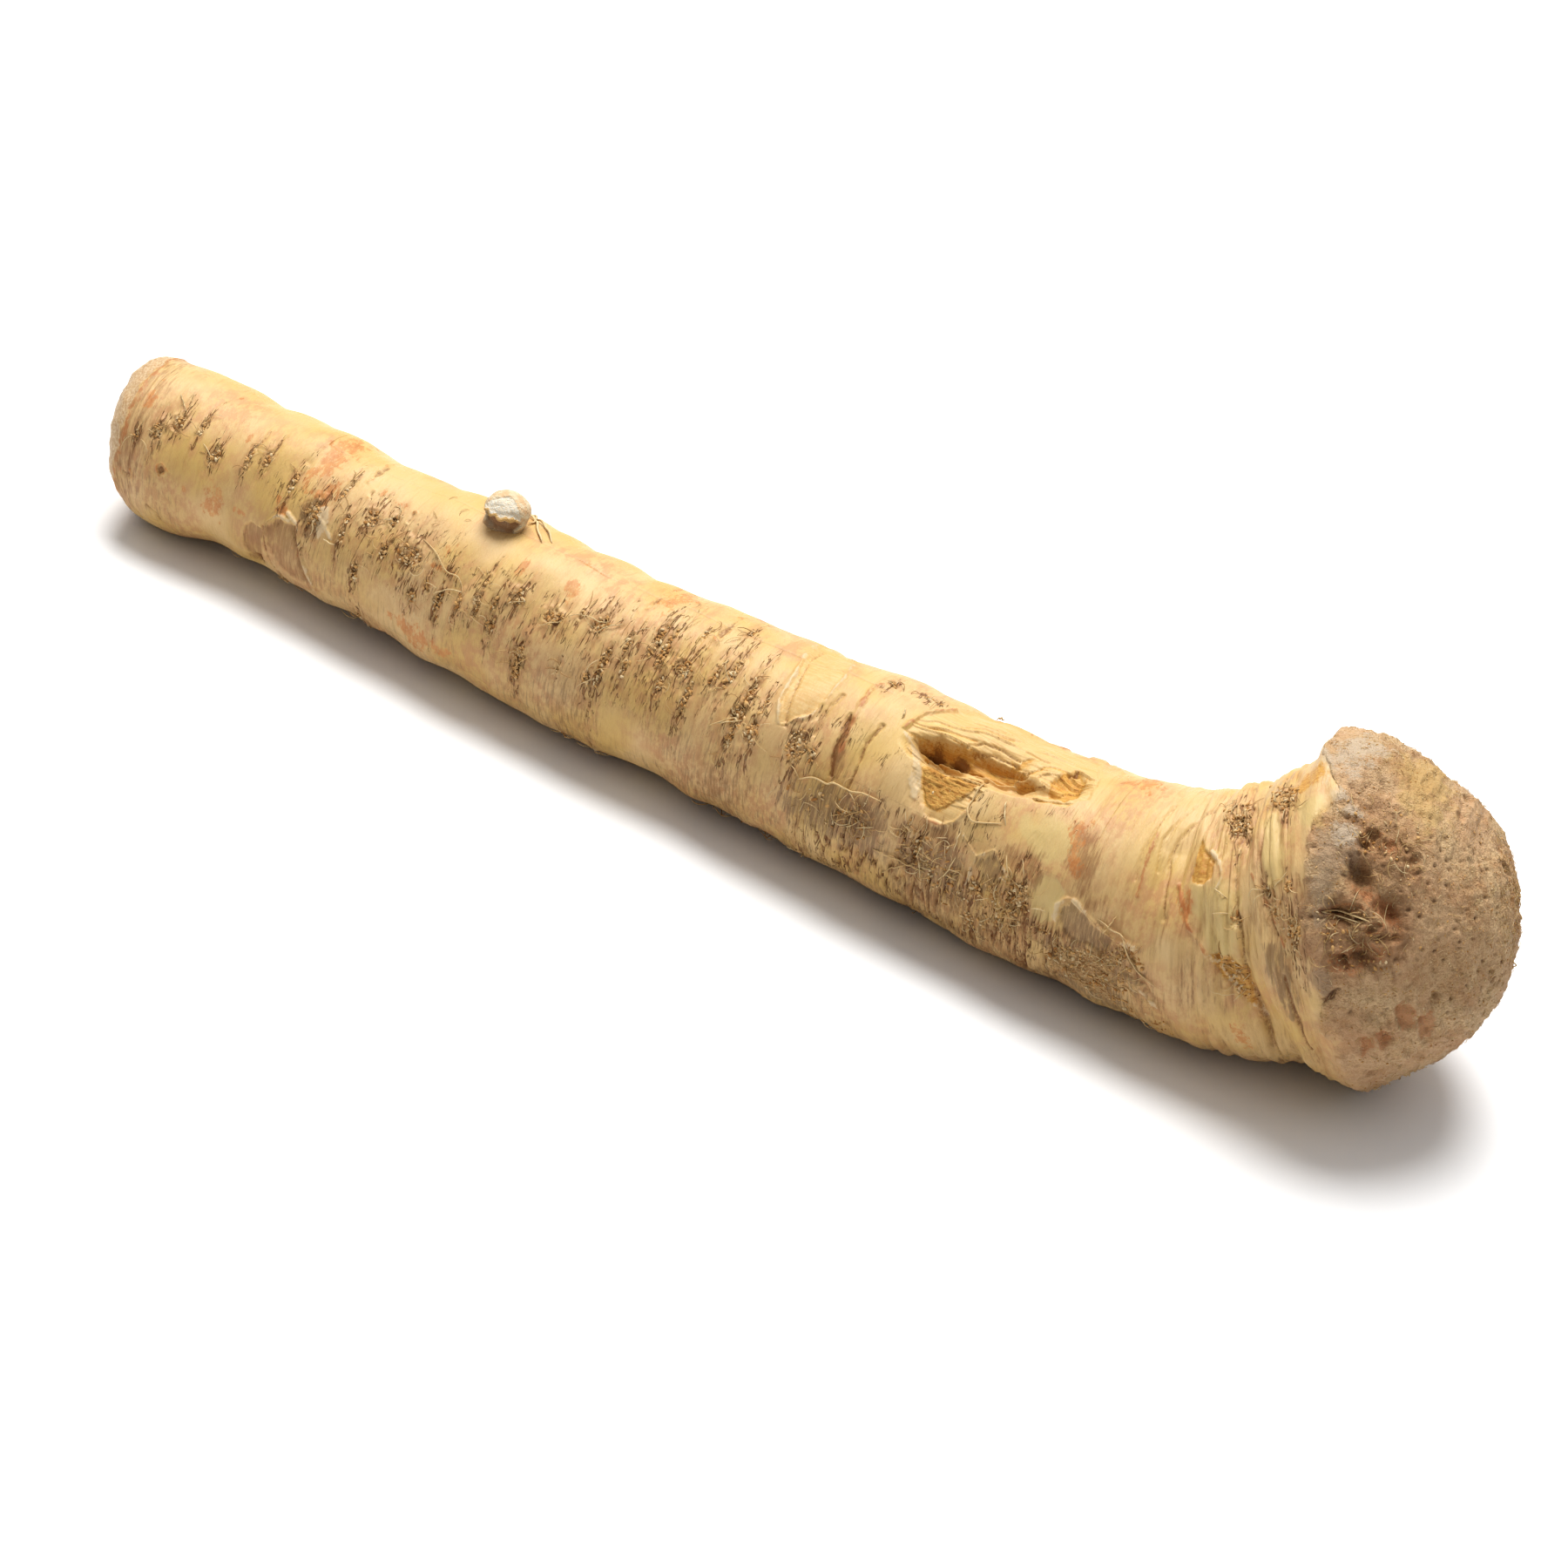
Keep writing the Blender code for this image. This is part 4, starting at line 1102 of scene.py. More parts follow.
def gouge(net):
    """Bare flesh: fibres and overlapping flakes that run along the root, with painted shadow at the
    flakes' edges, and crumbs where torn.
    """
    deep = patch(net.travel, net.angle, net.radius, BARE)
    bare = net.marks["flesh"] * smoothstep(0.05, 0.5, deep)
    across = np.radians(turned(net.angle - 20.0)) * net.radius
    wander = FLAKE_WANDER * noise(net.straight, (7.0, 3.0, 3.0), 82)
    drift = across / FLAKE_WIDTH + FLAKE_LEAN * net.travel + wander
    number = np.floor(drift)
    layer = drift - number
    where = np.stack([net.travel / FLAKE_LENGTH, 9.0 * number, 0.0 * drift], -1)
    chip = smoothstep(-0.35, 0.15, noise(where, 1.0, 83)) * bare * (1.0 - net.marks["scar"])
    net.height += chip * ((FLAKE_SIDES[1] - FLAKE_SIDES[0]) * layer + FLAKE_SIDES[0])
    fibre = layered(net.straight, (8.0, 0.5, 0.5), 81)
    net.height += bare * 0.13 * fibre
    # Ochre in the step under each flake's free edge and dark along the edge are painted shadow of the
    # flake.
    net.mark("ochre", 0.75 * chip * smoothstep(0.5, 0.05, layer))
    net.mark("dark", 0.55 * chip * smoothstep(0.93, 0.99, layer))
    crumb = np.maximum(net.marks["scar"], net.marks["ochre"] * (net.arc > 225.0))
    billow = np.abs(layered(net.plain, 1.6, 85))
    net.height += crumb * (0.3 * billow - 0.1 + 0.1 * noise(net.plain, 0.5, 87))
    net.height -= 0.12 * net.marks["dark"]


def rim(net):
    """How far in mm each place lies beyond the ragged line where the skin ends."""
    ragged = RIM_RAGGED * layered(net.plain, 3.5, 91)
    return net.arc - smooth(RIM, from_seam(net.angle)) - ragged


def crown_tissue(net, finder):
    """Felted, pitted tissue of the crown, and whatever of it shows beyond the rim."""
    beyond = rim(net)
    soft = smooth(RIM_SOFT, from_seam(net.angle))
    fuzz = layered(net.plain, 1.3, 201)
    amount = smoothstep(-soft, soft, beyond + 0.4 * soft * fuzz)
    net.mark("crown", amount)
    for kind in ("dirt_and_shade", "slit"):
        net.wipe(kind, amount)
    lump = layered(net.plain, 8.0, 205, 2)
    torn = net.marks["brown"] * amount
    cell = np.abs(layered(net.plain, 2.6, 209))
    net.height += amount * (0.15 * fuzz + 0.16 * lump + 0.3 * cell)
    ledge = np.abs(layered(net.plain, 4.2, 203, 4))
    net.height += torn * (1.1 * ledge - 0.45)
    # Dark in the ledges' valleys is painted shade.
    net.mark("dark", 0.3 * torn * smoothstep(0.14, 0.02, ledge))
    rows = net.rows(travel_at(CROWN_START), math.inf)
    pores(net, rows, amount[rows])
    pits(net, rows, finder)


def pores(net, rows, amount):
    """Pores in the crown, many at the front and few behind."""
    nearest, luck = pitted(net.straight[rows], (2.4, 1.4, 1.4), 211)
    many = smoothstep(-0.9, 0.2, layered(net.plain[rows], 12.0, 213, 2))
    many = np.maximum(many * smoothstep(-20.0, 60.0, turned(net.angle[rows])), 0.15)
    pore = bell(nearest / 0.45) * smoothstep(0.9 - 1.2 * many, 1.3 - 1.2 * many, luck) * amount
    net.height[rows] -= 0.5 * pore
    # Dark in each pore is painted shade.
    net.mark("dark", 0.7 * pore, rows)


def pits(net, rows, finder):
    """Pits in the crown, with a raised border and, where deep, a stain."""
    ragged = layered(net.plain[rows], 2.6, 207)
    for place, depth in all_pits(finder):
        distance = net.away(*place, rows) + 0.5 * ragged
        core = smoothstep(1.1, 0.45, distance)
        net.height[rows] += 0.25 * bell((distance - 1.25) / 0.45) - depth * core
        # Dark in the core is painted shade in the pit.
        net.mark("dark", 0.15 * core * smoothstep(-0.6, 0.5, ragged), rows)
        net.mark("stain", 0.75 * bell((distance - 0.9) / 0.6) * smoothstep(0.4, 0.9, depth), rows)


def all_pits(finder):
    """The crown's pits, those that show and others on its far side."""
    luck = np.random.default_rng(12)
    found = [(finder.oval(box[:4]), box[4]) for box in PITS]
    for travel, angle in hidden_places(luck, *HIDDEN_PITS):
        around = luck.uniform(0.6, 2.2)
        place = (travel, angle, around * luck.uniform(0.5, 1.2), around)
        found.append((place, 0.35 * around))
    return found


def dressed(net, finder):
    """Puts the fine relief and the marks on a net."""
    wrinkle(net)
    soil_and_shade(net)
    cut_end(net)
    stains(net, finder)
    scars(net, finder)
    patches(net, finder)
    gouge(net)
    edges(net, finder)
    creases(net, finder)
    crown_tissue(net, finder)


def grid_mesh(name, vertices, rings, columns, closed=True):
    """A mesh over rings of points, with a fan of faces round the point at each tip if closed."""
    faces = [face for part in grid_faces(rings, columns, closed) for face in part.tolist()]
    mesh = bpy.data.meshes.new(name)
    mesh.from_pydata((vertices * MM).tolist(), [], faces)
    return mesh


def grid_faces(rings, columns, closed):
    """Corner numbers of the faces between rings of points, and of the fans at both tips."""
    number = np.arange(rings * columns).reshape(rings, columns)
    if not closed:
        corners = (number[:-1, :-1], number[:-1, 1:], number[1:, 1:], number[1:, :-1])
        return (np.stack(corners, -1).reshape(-1, 4),)
    number = number + 1
    beside = np.roll(number, -1, 1)
    quads = np.stack([number[:-1], beside[:-1], beside[1:], number[1:]], -1).reshape(-1, 4)
    last = rings * columns + 1
    near = np.stack([np.zeros(columns, int), beside[0], number[0]], -1)
    far = np.stack([np.full(columns, last), number[-1], beside[-1]], -1)
    return near, quads, far


def unrolled(net):
    """A flat map of a net in two strips, with one corner of the map for each face corner."""
    rings, columns = net.travel.shape
    sides = columns if net.closed else columns - 1
    half = rings // 2
    row = np.arange(rings - 1)
    strip = (row >= half).astype(float)
    start = np.where(strip > 0, half, 0)
    size = np.where(strip > 0, rings - 1 - half, half)
    low, high = (row - start) / size, (row + 1 - start) / size
    across = np.arange(sides) / sides
    spots = []
    for along, side in ((low, 0), (low, 1), (high, 1), (high, 0)):
        u = np.broadcast_to(MAP_START + MAP_LENGTH * along[:, None], (rings - 1, sides))
        v = MAP_SIDE + MAP_WIDTH * (across[None] + side / sides) + MAP_STEP * strip[:, None]
        spots.append(np.stack([u, v], -1))
    quads = np.stack(spots, 2).reshape(-1, 2)
    if not net.closed:
        return quads
    fans = []
    for v_start, near, far in ((0.0, 1, 0), (MAP_STEP, 0, 1)):
        v = MAP_SIDE + v_start + MAP_WIDTH * across
        corners = ((FAN_START + FAN_LENGTH, v), (FAN_START, v + near * MAP_WIDTH / columns),
                   (FAN_START, v + far * MAP_WIDTH / columns))
        fan = [np.stack([np.full(columns, u), side], -1) for u, side in corners]
        fans.append(np.stack(fan, 1).reshape(-1, 2))
    return np.concatenate([fans[0], quads, fans[1]])


def net_mesh(name, net, ends=()):
    """A mesh over a net, closed by a point at each end, which carries marks and unrolled places."""
    vertices = net.points().reshape(-1, 3)
    if net.closed:
        vertices = np.concatenate([ends[:1], vertices, ends[1:]])
    mesh = grid_mesh(name, vertices, *net.travel.shape, net.closed)
    for number, three in enumerate(KINDS):
        amounts = np.stack([net.marks[kind] for kind in three], -1)
        write_vectors(mesh, f"marks_{number}", amounts, net.closed)
    turn, reach = np.radians(net.angle), net.radius + net.height
    straight = np.stack([net.travel, reach * np.cos(turn), reach * np.sin(turn)], -1)
    write_vectors(mesh, "straight", straight, net.closed)
    flat = mesh.uv_layers.new(name="OFBake")
    flat.data.foreach_set("uv", unrolled(net).ravel())
    mesh.shade_smooth()
    mesh.validate()
    return mesh


def write_vectors(mesh, name, rows, closed):
    """Stores one vector for each point of a net, and a mean one for each of its two tips."""
    values = rows.reshape(-1, 3)
    if closed:
        values = np.concatenate([[rows[0].mean(0)], values, [rows[-1].mean(0)]])
    mesh.attributes.new(name, "FLOAT_VECTOR", "POINT").data.foreach_set("vector", values.ravel())


def placed(name, data):
    """A new object in the scene."""
    thing = bpy.data.objects.new(name, data)
    bpy.context.scene.collection.objects.link(thing)
    return thing


def piece(mesh, material):
    """A shown piece that moves with the root."""
    thing = placed(mesh.name, mesh)
    mesh.materials.append(material)
    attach(thing, BODY)
    return thing


def colour(red, green, blue):
    """A linear colour from display values of 0 to 255."""
    share = np.array([red, green, blue]) / 255
    linear = np.where(share < 0.04045, share / 12.92, ((share + 0.055) / 1.055) ** 2.4)
    return (*(SHADE * linear).tolist(), 1.0)


class Tree:
    """A material and its nodes."""

    def __init__(self, name):
        self.material = bpy.data.materials.new(name)
        self.material.use_nodes = True
        self.nodes = self.material.node_tree.nodes
        self.links = self.material.node_tree.links
        self.shader = self.nodes["Principled BSDF"]

    def feed(self, socket, value):
        """Links a socket to another, or sets its value."""
        if isinstance(value, bpy.types.NodeSocket):
            self.links.new(value, socket)
        else:
            socket.default_value = value

    def finish(self, values):
        """Sets or links the shader's sockets, and returns the material."""
        for name, value in values.items():
            self.feed(self.shader.inputs[name], value)
        return self.material

    def stored(self, name, output="Vector"):
        """What the mesh stores under a name."""
        node = self.nodes.new("ShaderNodeAttribute")
        node.attribute_name = name
        return node.outputs[output]

    def parts(self, name, kinds):
        """The three amounts that a stored vector holds, by kind."""
        split = self.nodes.new("ShaderNodeSeparateXYZ")
        self.feed(split.inputs[0], self.stored(name))
        return dict(zip(kinds, split.outputs))

    def place(self):
        """Places in metres from the object's origin."""
        return self.nodes.new("ShaderNodeTexCoord").outputs["Object"]

    def stretched(self, vector, size):
        """A vector in grains of a size in mm."""
        node = self.nodes.new("ShaderNodeVectorMath")
        node.operation = "MULTIPLY"
        self.feed(node.inputs[0], vector)
        node.inputs[1].default_value = [1.0 / each for each in size]
        return node.outputs[0]

    def noise(self, vector, size, detail=2.0, roughness=0.55):
        """Smooth noise from 0 to 1."""
        node = self.nodes.new("ShaderNodeTexNoise")
        self.feed(node.inputs["Vector"], self.stretched(vector, size))
        node.inputs["Scale"].default_value = 1.0
        node.inputs["Detail"].default_value = detail
        node.inputs["Roughness"].default_value = roughness
        return node.outputs[0]

    def grains(self, vector, table):
        """Noises by name, each with its middle values drawn out over 0 to 1."""
        return {name: self.rise(self.noise(vector, *look), 0.3, 0.7) for name, look in table.items()}

    def rise(self, value, low, high, bottom=0.0, top=1.0):
        """A smooth rise from bottom at low to top at high."""
        node = self.nodes.new("ShaderNodeMapRange")
        node.interpolation_type = "SMOOTHSTEP"
        self.feed(node.inputs["Value"], value)
        for name, number in zip(("From Min", "From Max", "To Min", "To Max"), (low, high, bottom, top)):
            self.feed(node.inputs[name], number)
        return node.outputs[0]

    def maths(self, operation, first, second=0.0):
        """One sum, product or the like."""
        node = self.nodes.new("ShaderNodeMath")
        node.operation = operation
        self.feed(node.inputs[0], first)
        self.feed(node.inputs[1], second)
        return node.outputs[0]

    def times(self, first, second):
        """A product."""
        return self.maths("MULTIPLY", first, second)

    def mix(self, share, first, second):
        """A share of the second colour over the first."""
        node = self.nodes.new("ShaderNodeMix")
        node.data_type = "RGBA"
        self.feed(node.inputs[0], share)
        self.feed(node.inputs[6], first)
        self.feed(node.inputs[7], second)
        return node.outputs[2]

    def bump(self, height, distance, under=None):
        """Fine relief from a height, over the relief under it; distance in mm."""
        node = self.nodes.new("ShaderNodeBump")
        self.feed(node.inputs["Height"], height)
        node.inputs["Distance"].default_value = distance * MM
        if under is not None:
            self.feed(node.inputs["Normal"], under)
        return node.outputs[0]


# Grains of the skin's and the crown's marks: size in mm, detail and roughness
SKIN_GRAINS = {
    "fine": ((0.35, 0.5, 0.5), 2.0, 0.6),
    "blotch": ((1.6, 2.6, 2.6), 5.0, 0.7),
    "fleck": ((0.8, 1.7, 1.7), 6.0, 0.8),
    "band": ((0.45, 4.0, 4.0), 4.0, 0.7),
    "grain": ((0.5, 0.9, 0.9), 3.0, 0.75),
    "fibre": ((5.0, 0.35, 0.35), 3.0, 0.6),
}
CROWN_GRAINS = {"felt": ((0.5, 0.35, 0.35), 3.0, 0.75), "blotch": ((2.6, 1.8, 1.8), 4.0, 0.65)}

# Layers of colour, laid on in turn: kind of mark, share of its amount, grain of its border, how
# strong it is, how far the grain shifts the border, how soft the border is, and the colour or
# the grain and the two colours that it mixes
UNDER_DIRT_AND_SHADE = (("green", 1.0, "blotch", 0.75, 0.7, 0.5, (238, 210, 144)),)
OVER_DIRT_AND_SHADE = (
    # The dirt layer is real dirt and, on the lower side, painted shade.
    ("dirt_and_shade", 0.5, "band", 0.5, 0.9, 0.3, (120, 90, 60)),
    ("brown", 0.8, "band", 0.6, 0.8, 0.45, (160, 110, 68)),
    ("grey", 0.8, "band", 0.6, 1.0, 0.4, (146, 114, 82)),
    ("stain", 0.75, "fleck", 0.8, 1.3, 0.2, "blotch", (236, 170, 106), (212, 136, 76)),
    ("red", 0.75, "fleck", 0.8, 0.8, 0.3, (206, 136, 86)),
    ("flesh", 1.0, "blotch", 0.85, 0.5, 0.3, "fibre", (238, 192, 122), (248, 212, 150)),
    ("scar", 1.0, "grain", 0.8, 0.8, 0.3, "fine", (196, 148, 96), (240, 204, 150)),
    ("ochre", 1.0, "grain", 0.9, 0.6, 0.3, "fibre", (212, 146, 64), (244, 194, 104)),
    ("pale", 0.8, "fleck", 0.8, 0.8, 0.3, (242, 216, 174)),
    ("cut", 1.0, "blotch", 1.0, 0.8, 0.3, "fine", (208, 166, 120), (240, 212, 170)),
)
# The dark layer over the slits is painted shade in hollows, creases, cracks and between crumbs.
OVER_SLITS = (("dark", 1.0, "grain", 0.85, 0.4, 0.3, (146, 94, 48)),)
CROWN_LAYERS = (
    # On the crown's top this layer is partly painted highlight.
    ("green", 1.0, "blotch", 0.6, 0.6, 0.5, (226, 190, 122)),
    ("brown", 1.0, "blotch", 0.5, 1.0, 0.45, (164, 118, 78)),
    ("grey", 1.0, "felt", 0.6, 0.8, 0.4, (186, 160, 132)),
    ("stain", 0.8, "felt", 0.55, 1.0, 0.3, (206, 128, 74)),
    ("pale", 1.0, "felt", 0.8, 0.8, 0.3, (226, 204, 176)),
    # Dark on the crown is painted shade in pores, pits and ledges.
    ("dark", 1.0, "felt", 0.8, 0.5, 0.3, (116, 80, 52)),
)
STUB_LAYERS = (
    ("face", 1.0, "broad", 1.0, 0.3, 0.3, "crumb", (255, 234, 200), (255, 252, 238)),
    ("edge", 1.0, "fine", 0.9, 0.6, 0.3, (240, 190, 110)),
)


def overlaid(tree, base, marks, grains, layers):
    """A colour with layers laid on, each where its mark, broken up by a grain, is strong enough."""
    for kind, part, border, strength, shift, soft, *look in layers:
        amount = marks[kind] if part == 1.0 else tree.times(marks[kind], part)
        tint = colour(*look[-1])
        if len(look) > 1:
            tint = tree.mix(grains[look[0]], colour(*look[1]), tint)
        ragged = tree.times(tree.maths("SUBTRACT", grains[border], 0.5), shift)
        share = tree.rise(tree.maths("ADD", amount, ragged), 0.5 - soft, 0.5 + soft, 0.0, strength)
        base = tree.mix(tree.times(share, tree.rise(amount, 0.0, 0.3)), base, tint)
    return base


def skin_colour(tree, marks, straight, slits):
    """Cream skin with streaks, dirt and painted shade, stains and torn places."""
    grains = tree.grains(straight, SKIN_GRAINS)
    cloud = tree.noise(straight, (16.0, 16.0, 16.0))
    streak = tree.noise(straight, (0.6, 8.0, 8.0), 3.0, 0.6)
    base = tree.mix(tree.rise(cloud, 0.35, 0.68), colour(246, 210, 152), colour(236, 198, 124))
    pink = tree.times(marks["blush"], tree.rise(grains["blotch"], 0.2, 0.8, 0.2, 1.0))
    base = tree.mix(tree.times(pink, 0.65), base, colour(224, 166, 120))
    base = tree.mix(tree.rise(streak, 0.52, 0.74, 0.0, 0.28), base, colour(196, 148, 90))
    base = overlaid(tree, base, marks, grains, UNDER_DIRT_AND_SHADE)
    # A brown film where the dirt mark is: real dirt and, on the lower side, painted shade.
    film = tree.times(marks["dirt_and_shade"], tree.rise(grains["blotch"], 0.1, 0.9, 0.45, 1.0))
    base = tree.mix(tree.times(film, 0.6), base, colour(170, 120, 66))
    base = overlaid(tree, base, marks, grains, OVER_DIRT_AND_SHADE)
    base = tree.mix(slits, base, colour(146, 96, 50))
    return overlaid(tree, base, marks, grains, OVER_SLITS)


def slit_lines(tree, marks, straight):
    """Thin dark slits round the root, where the slit mark is strong."""
    wander = tree.noise(straight, (0.75, 5.0, 5.0), 2.0, 0.5)
    gap = tree.maths("ABSOLUTE", tree.maths("SUBTRACT", wander, 0.5))
    broken = tree.rise(tree.noise(straight, (1.1, 2.4, 2.4)), 0.4, 0.6, 0.3, 1.0)
    width = tree.times(tree.times(marks["slit"], broken), 0.075)
    return tree.rise(tree.maths("SUBTRACT", width, gap), 0.004, 0.04, 0.0, 0.8)


def crown_colour(tree, marks, straight):
    """Brown felt, greyer above and pinker below, with dark pores."""
    grains = tree.grains(straight, CROWN_GRAINS)
    cloud = tree.noise(straight, (11.0, 11.0, 11.0), 3.0, 0.6)
    base = tree.mix(tree.rise(cloud, 0.36, 0.62), colour(212, 166, 118), colour(244, 210, 162))
    base = tree.mix(tree.rise(grains["felt"], 0.1, 0.8, 0.55, 0.0), base, colour(166, 122, 78))
    base = tree.mix(tree.rise(grains["blotch"], 0.4, 1.0, 0.0, 0.4), base, colour(234, 198, 156))
    base = tree.mix(tree.times(marks["blush"], 0.45), base, colour(234, 188, 146))
    return overlaid(tree, base, marks, grains, CROWN_LAYERS)


def root_material(name):
    """Skin that gives way to bare felt on the crown."""
    tree = Tree(name)
    marks = {}
    for number, kinds in enumerate(KINDS):
        marks.update(tree.parts(f"marks_{number}", kinds))
    straight = tree.stored("straight")
    slits = slit_lines(tree, marks, straight)
    skin = skin_colour(tree, marks, straight, slits)
    felt = crown_colour(tree, marks, straight)
    rough = tree.maths("ADD", tree.times(marks["crown"], 0.3), tree.times(marks["scar"], 0.3))
    rough = tree.maths("ADD", rough, tree.times(marks["dirt_and_shade"], 0.2))
    grain = tree.bump(tree.noise(straight, (0.3, 1.2, 1.2), 3.0, 0.6), 0.12)
    grain = tree.bump(tree.maths("SUBTRACT", 1.0, slits), 0.3, grain)
    tuft = tree.noise(straight, (0.45, 0.45, 0.45), 3.0, 0.7)
    loose = tree.rise(tree.maths("ADD", marks["crown"], marks["scar"]), 0.0, 1.0)
    return tree.finish({
        "Base Color": tree.mix(marks["crown"], skin, felt),
        "Roughness": tree.rise(rough, 0.0, 0.5, 0.5, 0.85),
        "Normal": tree.bump(tree.times(tuft, loose), 0.5, grain),
        "Subsurface Weight": 0.06,
        "Subsurface Radius": (1.0, 0.6, 0.3),
        "Subsurface Scale": 1.2 * MM,
        "Specular IOR Level": 0.35,
    })


def floor_material():
    """Plain white card."""
    tree = Tree("white_card")
    cloud = tree.noise(tree.place(), (0.4, 0.4, 0.4))
    white = tree.mix(cloud, (0.90, 0.90, 0.90, 1.0), (0.92, 0.92, 0.92, 1.0))
    return tree.finish({"Base Color": white, "Roughness": 0.9, "Specular IOR Level": 0.1})


def loose_material(name, dark, middle, light):
    """Dry crumbs or hairs, each in a tone of its own."""
    tree = Tree(name)
    grain = tree.noise(tree.place(), (0.4 * MM,) * 3)
    shift = tree.times(tree.maths("SUBTRACT", grain, 0.5), 0.6)
    tone = tree.maths("ADD", tree.stored("tone", "Fac"), shift)
    base = tree.mix(tree.rise(tone, 0.0, 0.45), colour(*dark), colour(*middle))
    base = tree.mix(tree.rise(tone, 0.5, 1.0), base, colour(*light))
    return tree.finish({"Base Color": base, "Roughness": 0.85, "Specular IOR Level": 0.2})


def stub_material():
    """Cream bark round the bulb with brown painted shadow under its face's toothed edge, and its whitish,
    crumbly face with an ochre edge.
    """
    tree = Tree("stub_look")
    marks = tree.parts("marks", ("face", "edge", "shade"))
    place = tree.place()
    fine = tree.noise(place, (0.4 * MM,) * 3, 3.0, 0.65)
    broad = tree.noise(place, (1.6 * MM,) * 3, 3.0, 0.6)
    grains = {"fine": fine, "broad": broad, "crumb": tree.rise(fine, 0.35, 0.7)}
    base = tree.mix(tree.rise(broad, 0.35, 0.65), colour(246, 206, 158), colour(255, 240, 204))
    # Brown where the shade mark is: painted shadow under the face's toothed edge.
    base = tree.mix(tree.times(marks["shade"], 0.8), base, colour(140, 92, 54))
    base = overlaid(tree, base, marks, grains, STUB_LAYERS)
    return tree.finish({"Base Color": base, "Roughness": 0.8, "Normal": tree.bump(fine, 0.4)})


def make_root():
    """The skin of the whole root, sunk under the crown's shell and under the finer pieces."""
    travel = stations(0.0, outline()[0][-1], SKIN_RINGS, SKIN_RING_FOCUS)
    angle = np.linspace(SEAM, SEAM + 360.0, SKIN_COLUMNS + 1)[:-1]
    net = Net(travel, angle)
    finder = Finder(net)
    dressed(net, finder)
    net.surface = net.points()
    net.height -= SUNK * smoothstep(0.0, 2.0, rim(net))
    for low, high, start, stop, _, _ in WINDOWS.values():
        net.height -= SUNK * smoothstep(0.6, 1.6, net.inside(low, high, start, stop))
    points = net.points()
    material = root_material("root_skin_look")
    skin = piece(net_mesh("root_skin", net, points[[0, -1], 0]), material)
    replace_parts(skin, "horseradish_root")
    return net, finder, material


def make_window(name, finder, material):
    """A finer piece of the skin, whose border dips under the rest."""
    low, high, start, stop, rings, columns = WINDOWS[name]
    travel = np.linspace(travel_at(low), travel_at(high), rings)
    net = Net(travel, np.linspace(start, stop, columns), False)
    dressed(net, finder)
    edge = net.inside(low, high, start, stop)
    net.height += WINDOW_OVER - (SUNK + WINDOW_OVER) * smoothstep(0.5, 0.0, edge)
    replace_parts(piece(net_mesh(name, net), material), "horseradish_root")


def make_crown(finder, material):
    """The crown's shell of felted tissue, whose hidden edge lies under the skin."""
    travel = stations(travel_at(CROWN_START), outline()[0][-1], CROWN_RINGS, CROWN_RING_FOCUS)
    angle = stations(SEAM, SEAM + 360.0, CROWN_COLUMNS + 1, CROWN_COLUMN_FOCUS)[:-1]
    net = Net(travel, angle)
    dressed(net, finder)
    beyond = rim(net)
    net.height += CROWN_OVER - (SUNK + CROWN_OVER) * smoothstep(0.0, -1.4, beyond)
    net.height -= CROWN_OVER * smoothstep(0.5, 3.0, beyond)
    net.surface = points = net.points()
    middle = axis(np.array(CROWN_START))[0] - ORIGIN
    crown = piece(net_mesh("crown_face", net, np.stack([middle, points[-1, 0]])), material)
    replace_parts(crown, "horseradish_root")
    return net


def tangle_spots(kind, which, finder, luck):
    """Travel and angle of the hairs, or where which is 1 of the crumbs, of one kind of tangle."""
    found = []
    for name, *counts, line in TANGLES:
        left = counts[which] if name == kind else 0
        corners = np.array(line, float)
        after = np.roll(corners, -1, 0)
        while left > 0:
            x, y = luck.uniform(corners.min(0), corners.max(0))
            rising = (corners[:, 1] > y) != (after[:, 1] > y)
            slope = (after[:, 0] - corners[:, 0]) / np.where(rising, after[:, 1] - corners[:, 1], 1.0)
            crossed = rising & (x < corners[:, 0] + (y - corners[:, 1]) * slope)
            if crossed.sum() % 2:
                found.append(finder.place(round(x), round(y))[:2])
                left -= 1
    return np.array(found)


def loose_mesh(name, vertices, faces, tones):
    """A mesh of many loose bits, each with a tone of its own."""
    mesh = bpy.data.meshes.new(name)
    mesh.from_pydata((vertices * MM).tolist(), [], faces)
    mesh.attributes.new("tone", "FLOAT", "POINT").data.foreach_set("value", tones)
    mesh.shade_smooth()
    return mesh


def crumb_mesh(name, point, outward, size, luck):
    """Crumbs: rough, squashed lumps half sunk in what they lie on."""
    model = bmesh.new()
    bmesh.ops.create_icosphere(model, subdivisions=1, radius=1.0)
    ball = np.array([vertex.co for vertex in model.verts])
    corners = np.array([[vertex.index for vertex in face.verts] for face in model.faces])
    model.free()
    count = len(point)
    side = unit(np.cross(outward, unit(luck.normal(size=(count, 3)))))
    turn = np.stack([side, np.cross(outward, side), outward], 1)
    shape = size[:, None] * luck.uniform((0.7, 0.35, 0.35), (1.5, 0.8, 0.7), (count, 3))
    rough = ball[None] * luck.uniform(0.7, 1.3, (count, len(ball), 1))
    vertices = point[:, None] + np.einsum("nvk,nkx->nvx", rough * shape[:, None], turn)
    vertices += (0.15 * size)[:, None, None] * outward[:, None]
    vertices[..., 2] = np.maximum(vertices[..., 2], 0.0)
    faces = corners[None] + len(ball) * np.arange(count)[:, None, None]
    tones = np.repeat(luck.uniform(0.0, 1.0, count), len(ball))
    return loose_mesh(name, vertices.reshape(-1, 3), faces.reshape(-1, 3).tolist(), tones)


def strewn_places(net, chance, luck):
    """Travel and angle of the points of a net that a draw picks, each with its own chance."""
    picked = luck.uniform(0.0, 1.0, net.arc.shape) < chance
    return np.stack([net.travel[picked], net.angle[picked]], -1)


